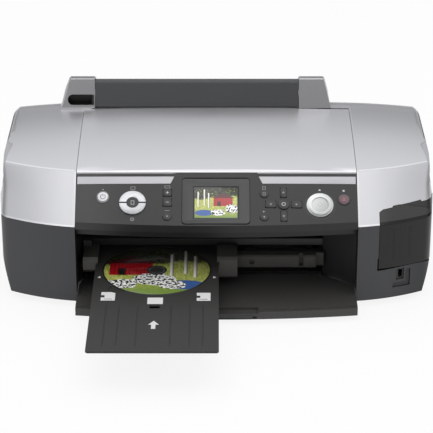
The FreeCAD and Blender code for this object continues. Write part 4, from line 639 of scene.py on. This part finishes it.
def brushed_steel(name, colour, roughness):
    """Rolled sheet steel with fine lengthwise lines."""
    finish = Finish(name, colour, roughness, 1.0)
    lines = finish.noise(1.2, 3.0, 0.6, (0.04, 1.0, 1.0))
    finish.put("Base Color", finish.shade(colour, 0.94 + (lines - 0.5) * 0.14))
    finish.put("Roughness", roughness + (lines - 0.5) * 0.2)
    finish.bump(lines, 0.003)
    return finish


screw_middle, screw_spread = (-20.0, 55.0), (125.0, 33.0)       # X and Z


def turned_steel():
    """Plated screw heads, with painted shade in their cross recess."""
    finish = Finish("screw_steel", srgb(150, 151, 153), 0.3, 1.0)
    x, _, z = finish.place()
    across = abs(x - screw_middle[0]) - screw_spread[0]
    up = abs(z - screw_middle[1]) - screw_spread[1]
    cross = (block(across, up, -0.5, 0.5, -1.9, 1.9) + block(across, up, -1.9, 1.9, -0.5, 0.5)).lowest(1.0)
    # Painted shade darkens the cross recess.
    finish.put("Base Color", finish.shade(srgb(150, 151, 153), 1 - cross * 0.85))
    finish.put("Roughness", 0.3 + (finish.noise(0.6, 2.0) - 0.5) * 0.2)
    return finish


def circuit_board():
    """Green solder mask with copper traces under it and pale solder pads."""
    finish = Finish("board_green", srgb(38, 92, 58), 0.4)
    traces = finish.cells(3.2, "DISTANCE_TO_EDGE").step(0.04, 0.09)
    pads = finish.cells(2.1).step(0.12, 0.18)
    base = finish.mix(traces, srgb(62, 120, 72), srgb(30, 80, 48))
    finish.put("Base Color", finish.mix(pads, srgb(176, 178, 172), base))
    finish.put("Roughness", 0.4 + (traces - 0.5) * 0.1)
    return finish


paint = {
    "silver": silver_paint("silver_lacquer", srgb(208, 208, 210), 0.34, case_light_and_shade, 0.75, notch_shade_and_door_corner),
    "trim": silver_paint("trim_lacquer", srgb(176, 176, 178), 0.42),
    # The lower case carries painted shade in its mouth and in the camera port's pocket.
    "lower": moulded("lower_case_plastic", srgb(64, 65, 67), 0.46, marks=port_pocket_shade, share=lower_shade),
    "flank": moulded("side_cover_plastic", srgb(58, 60, 63), 0.48, marks=cover_corner, share=flank_shade),
    "inner": moulded("inner_plastic", srgb(60, 59, 57), 0.5),
    "guide": moulded("guide_plastic", srgb(72, 71, 67), 0.45, grain=0.6, depth=0.02),
    "tray": moulded("tray_plastic", srgb(66, 65, 63), 0.48, grain=0.6, depth=0.02),
    "disc_tray": moulded("disc_tray_plastic", srgb(46, 45, 43), 0.48, grain=0.5, depth=0.015,
                         marks=tray_marks),
    "support": moulded("paper_support_plastic", srgb(72, 73, 75), 0.45),
    "lcd": moulded("display_frame_plastic", srgb(56, 56, 55), 0.38, grain=0.5),
    "steel": brushed_steel("sheet_steel", srgb(165, 166, 168), 0.32),
    "screw": turned_steel(),
    "rubber": moulded("rubber", srgb(34, 34, 35), 0.8, grain=0.8, depth=0.03),
    "board": circuit_board(),
    "gear": moulded("gear_plastic", srgb(216, 213, 205), 0.4),
    "ink": moulded("ink_tank_plastic", srgb(60, 60, 62), 0.35),
    "felt": moulded("felt", srgb(188, 182, 168), 0.95, grain=0.5, depth=0.15, mottle=0.2),
    # The panel's tone carries painted light and shade.
    "panel": moulded("panel_plastic", srgb(31, 31, 30), 0.42, grain=0.5, marks=panel_marks,
                     share=panel_light_and_shade),
    "start": silver_paint("start_cap_lacquer", srgb(206, 207, 206), 0.3, start_shade),
    "cap": silver_paint("cap_lacquer", srgb(200, 201, 203), 0.36, cap_shade),
    "smoke": smoked_door(), "disc": disc_print(), "screen": screen_print(),
}


def ring_rim(radius):
    return lambda u, v: ring(u, v, radius - 0.9, radius - 0.2)


def box_rim(half_wide, half_high):
    return lambda u, v: frame_mark(u, v, half_wide, half_high, 0.6)


def sheet_sign(u, v):
    return frame_mark(u, v, 1.5, 1.9, 0.45)


def ring_sign(u, v):
    return ring(u, v, 1.6, 2.3)


def minus_sign(u, v):
    return block(u, v, -1.7, 1.7, -0.3, 0.3)


def plus_sign(u, v):
    return (minus_sign(u, v) + minus_sign(v, u)).lowest(1.0)


def power_sign(u, v):
    gap = block(u, v, -0.9, 0.9, 0.6, 4.0)
    return ring(u, v, 2.4, 3.1) * (1 - gap) + block(u, v, -0.35, 0.35, 0.4, 3.6)


def stop_sign(u, v):
    return triangle(u, v + 1.6, 2.5, 4.0) * (1 - triangle(u, v + 1.0, 1.5, 2.3))


# Each key's place on the panel, sign, dark rim, plastic and the colour of its sign.
key_grey = srgb(38, 38, 37)
keys = {
    "power_button": ((-126.0, 30.8), power_sign, ring_rim(6.75), srgb(228, 228, 230), srgb(120, 121, 124)),
    "setup_button": ((-54.6, 56.7), dot_sign, ring_rim(5.0), key_grey, mark_grey),
    "settings_button": ((52.8, 27.7), sheet_sign, ring_rim(4.85), key_grey, mark_grey),
    "back_button": ((52.5, 57.8), arrow(3), ring_rim(4.6), key_grey, mark_grey),
    "ok_button": ((cross_x, cross_down), ring_sign, ring_rim(6.5), key_grey, mark_white),
    "stop_button": ((141.2, 33.8), stop_sign, ring_rim(6.75), srgb(104, 82, 88), srgb(190, 110, 116)),
    "zoom_in_key": ((-54.5, 26.2), plus_sign, box_rim(4.3, 3.9), key_grey, mark_white),
    "zoom_out_key": ((-54.5, 38.6), minus_sign, box_rim(4.3, 4.3), key_grey, mark_white),
    "up_key": ((cross_x, cross_down - cross_rise), arrow(0), None, key_grey, mark_grey),
    "down_key": ((cross_x, cross_down + cross_rise), arrow(2), None, key_grey, mark_grey),
    "left_key": ((cross_x - cross_reach, cross_down), arrow(3), None, key_grey, mark_grey),
    "right_key": ((cross_x + cross_reach, cross_down), arrow(1), None, key_grey, mark_grey),
}
for key, (place, draw, rim, colour, ink) in keys.items():
    paint[key] = moulded(key + "_plastic", colour, 0.36, marks=key_marks(*place, draw, rim, ink))

finish_of = {
    "silver": ("upper_case", "lid"), "trim": ("panel_trim",), "lower": ("lower_case", "rear_cover"),
    "flank": ("side_cover_left", "side_cover_right"), "smoke": ("card_door",), "panel": ("panel_housing",),
    "lcd": ("lcd_bezel",), "guide": ("disc_guide",), "tray": ("output_tray", "tray_extension"),
    "disc_tray": ("disc_tray",), "support": ("paper_support",), "start": ("start_button",),
    "cap": ("mode_button_upper", "mode_button_lower"), "screw": ("case_screws",),
    "steel": ("mechanism_frame", "carriage_shaft", "drive_motors", "motor_pulley", "feed_roller"),
    "gear": ("idler_pulley", "idler_gear", "motor_pinion"),
    "rubber": ("eject_roller", "pickup_roller", "timing_belt", "feet"),
    "board": ("button_board", "main_board"), "ink": ("ink_cartridges",), "felt": ("waste_ink_pad",),
    "inner": ("base_frame", "card_reader", "carriage", "star_wheels", "platen", "capping_station",
              "power_supply", "feeder_frame", "edge_guide"),
    "disc": ("disc",), "screen": ("lcd_screen",), **{key: (key,) for key in keys},
}
material_of = {name: paint[finish].material for finish, names in finish_of.items() for name in names}


# ---- dressing -----------------------------------------------------------------------------
weld_reach, flat_angle, sharp_angle = 0.002, math.radians(0.3), math.radians(32)


def round_off(piece, width):
    """Joins a node's loose triangles, makes its flat areas whole and rounds its sharp edges."""
    weld = piece.modifiers.new("weld", "WELD")
    weld.merge_threshold = weld_reach * mm
    whole = piece.modifiers.new("whole", "DECIMATE")
    whole.decimate_type = "DISSOLVE"
    whole.angle_limit = flat_angle
    edge = piece.modifiers.new("edge", "BEVEL")
    edge.width = width * mm
    edge.segments = 2
    edge.limit_method = "ANGLE"
    edge.angle_limit = sharp_angle
    return edge


# ---- smooth outer surfaces ----------------------------------------------------------------
def arc_through(p, q, r):
    """Centre and radius of the circle through three points of a plane."""
    p, q, r = (np.array(point, float) for point in (p, q, r))
    rows = np.array([q - p, r - p]) * 2.0
    right = np.array([q @ q - p @ p, r @ r - p @ p])
    centre = np.linalg.solve(rows, right)
    return centre, float(np.linalg.norm(p - centre))


def round_form(centre, radius):
    """Distance outside a circle and the outward direction, for points of its plane."""
    def measure(points):
        away = points - centre
        length = np.linalg.norm(away, axis=1)
        return length - radius, away / length[:, None]
    return measure


def straight_form(start, end):
    """Distance outside a straight outline, whose outer side lies to the right of its run."""
    run = np.array(end, float) - np.array(start, float)
    outward = np.array([run[1], -run[0]]) / np.linalg.norm(run)

    def measure(points):
        return (points - np.array(start)) @ outward, np.tile(outward, (len(points), 1))
    return measure


def front_forms():
    """Right half of the case's outline seen from the front: flank, shoulder and top, in X and Z."""
    centre = np.array([crease_half - shoulder_radius * math.cos(shoulder_low),
                       crease_height - shoulder_radius * math.sin(shoulder_low)])

    def shoulder(angle):
        return centre + shoulder_radius * np.array([math.cos(angle), math.sin(angle)])

    low, waist, crease = (foot_half, foot_height), (waist_half, waist_height), shoulder(shoulder_low)
    lower = (foot_half + 0.66 * (waist_half - foot_half), (foot_height + waist_height) / 2)
    upper = (waist_half - 0.3 * (waist_half - crease_half), (waist_height + crease_height) / 2)
    turned = shoulder(shoulder_high)
    apex = (0.0, turned[1] + turned[0] / math.tan(shoulder_high))
    return [round_form(*arc_through(low, lower, waist)), round_form(*arc_through(waist, upper, crease)),
            round_form(centre, shoulder_radius), straight_form(turned, apex)]


def plan_forms():
    """Right half of the case's outline seen from above: swept cheek, corner, flank and rear, in X and Y."""
    def cheek(angle):
        return np.array([mouth_half + cheek_radius * (math.sin(angle) - math.sin(cheek_start)),
                         front + cheek_radius * (math.cos(cheek_start) - math.cos(angle))])

    cheek_centre = np.array([mouth_half - cheek_radius * math.sin(cheek_start),
                             front + cheek_radius * math.cos(cheek_start)])
    turn = math.asin(math.sin(cheek_start) + (corner_start_half - mouth_half) / cheek_radius)
    start = cheek(turn)
    run = (corner_half - start[0]) / math.cos(turn)
    knee = np.array([corner_half, start[1] + run * math.sin(turn)])
    end = knee + (0.0, run)
    radius = run / math.tan((math.pi / 2 - turn) / 2)
    rear = np.array([rear_half, front + body_depth - rear_radius])
    flank = arc_through(end, (flank_half, front + body_depth / 2), rear)
    return {"front": [round_form(cheek_centre, cheek_radius), round_form(end - (radius, 0.0), radius)],
            "flank": [round_form(*flank), round_form(rear - (rear_radius, 0.0), rear_radius)]}


def crown_form(points):
    """Distance above the arched top, a cross section turned about a far X axis."""
    x, y, z = points.T
    across = np.abs(x)
    beyond = np.maximum(across - mouth_half, 0.0)
    inner = np.minimum(across, mouth_half)
    fall = inner ** 2 / (2 * crown_cross_radius) + beyond * mouth_half / crown_cross_radius
    fall = fall + beyond ** 2 / (2 * crown_side_radius)
    slope = inner / crown_cross_radius + beyond / crown_side_radius
    dy, dz = y - (front + crown_depth), z - (crown_height - crown_radius)
    length = np.hypot(dy, dz)
    outward = np.stack([slope, dy / length, dz / length], axis=1)
    return length - (crown_radius - fall), outward / np.linalg.norm(outward, axis=1)[:, None]


def panel_form(points):
    """Distance above the control panel, straight lines from its level top edge to its bulging foot."""
    x, y, z = points.T
    height = panel_top_height - panel_base_height
    down = (panel_top_height - z) / height
    reach_out = panel_reach(x)
    outward = np.stack([2 * down * panel_bulge * np.abs(x) / mouth_half ** 2,
                        -np.ones(len(x)), reach_out / height], axis=1)
    length = np.linalg.norm(outward, axis=1)
    return (front + panel_top_depth - down * reach_out - y) / length, outward / length[:, None]


def outer_forms():
    """The surfaces that bound the case, each giving distance and direction for points with X above 0."""
    def seen_from_front(form):
        def measure(points):
            distance, flat = form(points[:, [0, 2]])
            return distance, np.stack([flat[:, 0], np.zeros(len(flat)), flat[:, 1]], axis=1)
        return measure

    def seen_from_above(form, lean):
        def measure(points):
            run = lean * (points[:, 2] - split_height)
            distance, flat = form(np.stack([points[:, 0], points[:, 1] - run], axis=1))
            outward = np.stack([flat[:, 0], flat[:, 1], -lean * flat[:, 1]], axis=1)
            length = np.linalg.norm(outward, axis=1)
            return distance / length, outward / length[:, None]
        return measure

    plan = plan_forms()
    forms = [seen_from_front(form) for form in front_forms()]
    forms += [seen_from_above(form, 0.0) for form in plan["front"] + plan["flank"]]
    forms += [seen_from_above(form, incline) for form in plan["front"]]
    return forms + [crown_form, panel_form]


def ramp(value, low, high):
    """0 below low and 1 above high, with a straight run between them."""
    return np.clip((value - low) / (high - low), 0.0, 1.0)


def ease(value, low, high):
    """0 below low and 1 above high, with a smooth run between them."""
    share = ramp(value, low, high)
    return share * share * (3 - 2 * share)


def fall_away(points):
    """Places of the case's points once its rear falls away and its flanks stand fuller.

    Behind the lid the top follows a circle of 60 mm radius downwards, beside the sheet feeder only.
    The ears and the paper support sink the more, the higher a point lies on them, along their leaning
    sides.  The finger notch sits a little lower.  Above the waist the flanks move out by up to 4.8 mm.
    Round the card door the points slide down the slope of the front, so that its top edge lies lower.
    """
    x, y, z = points.T
    near_door = ramp(x, *door_flank) * (1 - ramp(y - front, *door_back))
    held = np.clip(z, door_cut[0], door_cut[-1])
    slid = (held - np.interp(held, door_cut, door_shown)) * near_door
    y, z = y - incline * slid, z - slid
    depth = y - front
    behind = np.clip(depth - fall_start, 0.0, fall_radius * 0.9)
    drop = fall_radius - np.sqrt(fall_radius ** 2 - behind ** 2)
    beside = 1 - ramp(x, *left_foot) + ramp(x, *right_foot)
    shoulder = drop * beside * ramp(z, *shoulder_rise) * (1 - ramp(z, *shoulder_end))
    left, right = 1 - ramp(x, *left_wall), ramp(x, *right_wall)
    sunk = drop * (ramp(z, *support_rise) * (1 - left - right) + ramp(z, *wall_rise) * (left + right))
    notch = notch_drop * (1 - ramp(x, *notch_end)) * (1 - ramp(depth, *notch_back))
    notch = notch * ramp(z, *notch_foot) * (1 - ramp(z, *notch_top))
    out = fuller_by * ease(z, *fuller_rise) * ramp(np.abs(x), *fuller_reach)
    return np.stack([x + np.sign(x) * out + (right_lean * right - left_lean * left) * sunk,
                     y - ear_front_lean * notch, z - shoulder - sunk - notch], axis=1)


def thin_front(points):
    """The same for a flank cover, which also comes nearer to the flank towards its upper front edge."""
    inward = thinner_by * (1 - ease(points[:, 1] - front, *thinner_back)) * ease(points[:, 2], *thinner_rise)
    moved = fall_away(points)
    moved[:, 0] -= np.sign(points[:, 0]) * inward
    return moved


def turned_by(change, points, directions):
    """Outward directions after a change of form: the inverse transpose of its local stretch."""
    step = 0.05
    ahead, back = ([change(points + way * step * axis) for axis in np.eye(3)] for way in (1, -1))
    stretch = np.stack([(far - near) / (2 * step) for far, near in zip(ahead, back)], axis=2)
    turned = np.linalg.solve(np.transpose(stretch, (0, 2, 1)), directions[:, :, None])[:, :, 0]
    return turned / np.maximum(np.linalg.norm(turned, axis=1), 1e-12)[:, None]


def cut_through(mesh, axis, places):
    """Edge loops across the mesh at given places along one axis, so that it can be bent there."""
    bent = bmesh.new()
    bent.from_mesh(mesh)
    for place in places:
        spot, normal = [0.0, 0.0, 0.0], [0.0, 0.0, 0.0]
        spot[axis], normal[axis] = place * mm, 1.0
        bmesh.ops.bisect_plane(bent, geom=bent.verts[:] + bent.edges[:] + bent.faces[:], dist=1e-6,
                               plane_co=spot, plane_no=normal)
    bent.to_mesh(mesh)
    bent.free()


def values(owner, key, width=1, kind=float):
    """A property of all vertices, faces or corners as one array."""
    flat = np.zeros(len(owner) * width, kind)
    owner.foreach_get(key, flat)
    return flat.reshape(-1, width) if width > 1 else flat


def smooth(mesh):
    mesh.polygons.foreach_set("use_smooth", np.ones(len(mesh.polygons), bool))


skin_reach, skin_turn = 0.4, math.radians(9)    # how far a face may lie off an outer surface


def smooth_skin(name, width):
    """Copy of a node with rounded edges, shaded by the true direction of the case's outer surfaces.

    A vertex takes the mean direction of its faces, weighed by their areas.  A face that lies on one of
    the outer surfaces gives that surface's direction at the vertex, and any other face gives its own.
    """
    source = nodes[name]
    round_off(source, width)
    seen = source.evaluated_get(bpy.context.evaluated_depsgraph_get())
    mesh = bpy.data.meshes.new_from_object(seen)
    mesh.name = name + "_skin"
    for axis, loops in enumerate(bent_loops.get(name, ())):
        cut_through(mesh, axis, loops)
    places = values(mesh.vertices, "co", 3) / mm
    faces = values(mesh.polygons, "normal", 3)
    centres = values(mesh.polygons, "center", 3) / mm
    area = values(mesh.polygons, "area")
    corner = values(mesh.loops, "vertex_index", kind=int)
    sizes = values(mesh.polygons, "loop_total", kind=int)
    face = np.repeat(np.arange(len(sizes)), sizes)

    flip = np.array([-1.0, 1.0, 1.0])
    side = np.where(centres[:, :1] < 0, flip, 1.0)
    own = faces[face].copy()
    best = np.full(len(sizes), skin_reach)
    for form in outer_forms():
        distance, outward = form(centres * side)
        agrees = np.sum(outward * side * faces, axis=1) > math.cos(skin_turn)
        fits = agrees & (np.abs(distance) < best)
        best = np.where(fits, np.abs(distance), best)
        _, at_corner = form(places[corner] * side[face])
        own = np.where(fits[face][:, None], at_corner * side[face], own)
    total = np.zeros((len(places), 3))
    np.add.at(total, corner, own * area[face][:, None])
    total /= np.maximum(np.linalg.norm(total, axis=1), 1e-12)[:, None]
    if name in bent_loops:
        change = thin_front if name.startswith("side_cover") else fall_away
        total = turned_by(change, places, total)
        mesh.vertices.foreach_set("co", (change(places) * mm).ravel())
        mesh.update()
    smooth(mesh)
    mesh.normals_split_custom_set_from_vertices(total.tolist())
    piece = bpy.data.objects.new(name + "_skin", mesh)
    bpy.context.scene.collection.objects.link(piece)
    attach(piece, source["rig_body"])
    slot_of[name]
    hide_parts(name)


rows = frame["record"]["subparts"]
slot_of = {row["node"]: row["material_slot"] for row in rows}
rear_loops = [front + lid_rear + 4.0 + 5.0 * step for step in range(9)]
side_loops = [-235.0, -215.0, -195.0, -187.5, -169.0, -150.5, 104.0, 120.0, 137.5, 195.0, 215.0, 235.0]
height_loops = [105.0, 115.0, 122.0, 129.0, 136.0, 142.0, 147.0]
ear_loops = [110.0, 114.1, 126.0, 158.0, 162.0, 168.0, 177.0, 180.0, 187.0]
cover_loops = rear_loops + [front + depth for depth in (70.0, 80.0, 90.0, 100.0, 110.0)]
bent_loops = {
    "upper_case": (side_loops, rear_loops, height_loops + ear_loops),
    "paper_support": ((), rear_loops, support_rise),
    "side_cover_left": ((), cover_loops, height_loops), "side_cover_right": ((), cover_loops, height_loops),
    "card_door": ((195.0, 215.0, 235.0), (), height_loops + [110.0, 114.1]),
}
# Widths of the rounded edges: of the pieces that are seen large, and of all others.
edge_width = 0.4
skins = {"upper_case": 0.5, "paper_support": 0.5, "disc_tray": 0.3, "output_tray": 0.4, "tray_extension": 0.4,
         "disc_guide": 0.3, "lid": 0.6, "lower_case": 0.4, "side_cover_left": 0.4, "side_cover_right": 0.4,
         "card_door": 0.5, "panel_housing": 0.4, "panel_trim": 0.3}

for name, piece in nodes.items():
    piece.data.materials.clear()
    piece.data.materials.append(material_of[name])
    if name in skins:
        smooth_skin(name, skins[name])
        continue
    edge = round_off(piece, edge_width)
    edge.harden_normals = True
    smooth(piece.data)


# ---- floor and light ----------------------------------------------------------------------
floor_half, floor_white, floor_in_gloss = 6.0, 0.88, 0.75
lamp_aim = (0.0, 0.0, 0.1)


def floor():
    """Pale floor that shows white to the eye, and keeps the object's shadow."""
    mesh = bpy.data.meshes.new("floor")
    ways = ((-1, -1), (1, -1), (1, 1), (-1, 1))
    mesh.from_pydata([(x * floor_half, y * floor_half, 0) for x, y in ways], [], [(0, 1, 2, 3)])
    made = bpy.data.objects.new("floor", mesh)
    bpy.context.scene.collection.objects.link(made)
    material = bpy.data.materials.new("floor_white")
    material.use_nodes = True
    tree = material.node_tree
    tree.nodes.clear()
    light = node(tree, "ShaderNodeLightPath")
    in_gloss = light["Is Glossy Ray"] * floor_in_gloss
    seen = light["Is Camera Ray"].highest(in_gloss).highest(light["Is Transmission Ray"])
    lit = node(tree, "ShaderNodeBsdfDiffuse", None, {"Color": (0.9, 0.9, 0.9, 1.0)})[0]
    white = node(tree, "ShaderNodeEmission", None, {"Color": (1.0, 1.0, 1.0, 1.0), "Strength": 1.0})[0]
    both = node(tree, "ShaderNodeMixShader", None, {0: seen * floor_white, 1: lit, 2: white})[0]
    out = tree.nodes.new("ShaderNodeOutputMaterial")
    tree.links.new(both.link, out.inputs[0])
    made.data.materials.append(material)


def world(horizon, overhead, front_dimmed):
    """Plain room, dim near the horizon and ahead and bright overhead, that shows white to the eye."""
    sky = bpy.data.worlds.new("studio")
    bpy.context.scene.world = sky
    sky.use_nodes = True
    tree = sky.node_tree
    tree.nodes.clear()
    light = node(tree, "ShaderNodeLightPath")
    seen = light["Is Camera Ray"].highest(light["Is Transmission Ray"])
    direction = node(tree, "ShaderNodeSeparateXYZ", None, {0: node(tree, "ShaderNodeTexCoord")["Generated"]})
    up, ahead = direction["Z"], direction["Y"] * -1.0
    dimmed = ahead.step(-0.1, 0.4) * up.step(0.3, 0.8) * front_dimmed
    strength = horizon + up.step(0.3, 0.78) * (overhead - horizon) - dimmed
    cool = (0.97, 0.98, 1.0, 1.0)
    room = node(tree, "ShaderNodeBackground", None, {"Color": cool, "Strength": strength})[0]
    white = node(tree, "ShaderNodeBackground", None, {"Color": (1.0, 1.0, 1.0, 1.0), "Strength": 1.0})[0]
    both = node(tree, "ShaderNodeMixShader", None, {0: seen, 1: room, 2: white})[0]
    out = tree.nodes.new("ShaderNodeOutputWorld")
    tree.links.new(both.link, out.inputs[0])


def softbox(name, place, width, height, power):
    """Rectangular lamp that shines on the object."""
    data = bpy.data.lights.new(name, "AREA")
    data.shape = "RECTANGLE"
    data.size = width
    data.size_y = height
    data.energy = power
    lamp = bpy.data.objects.new(name, data)
    lamp.location = place
    lamp.rotation_euler = (Vector(lamp_aim) - Vector(place)).to_track_quat("-Z", "Y").to_euler()
    bpy.context.scene.collection.objects.link(lamp)


floor()
world(horizon=0.22, overhead=1.18, front_dimmed=0.45)
softbox("top_light", (0.0, -0.3, 2.4), width=2.6, height=1.8, power=15.0)
softbox("front_light", (-1.2, -2.4, 1.9), width=1.8, height=1.4, power=6.0)
softbox("right_light", (2.0, -1.2, 1.3), width=1.0, height=1.4, power=3.0)
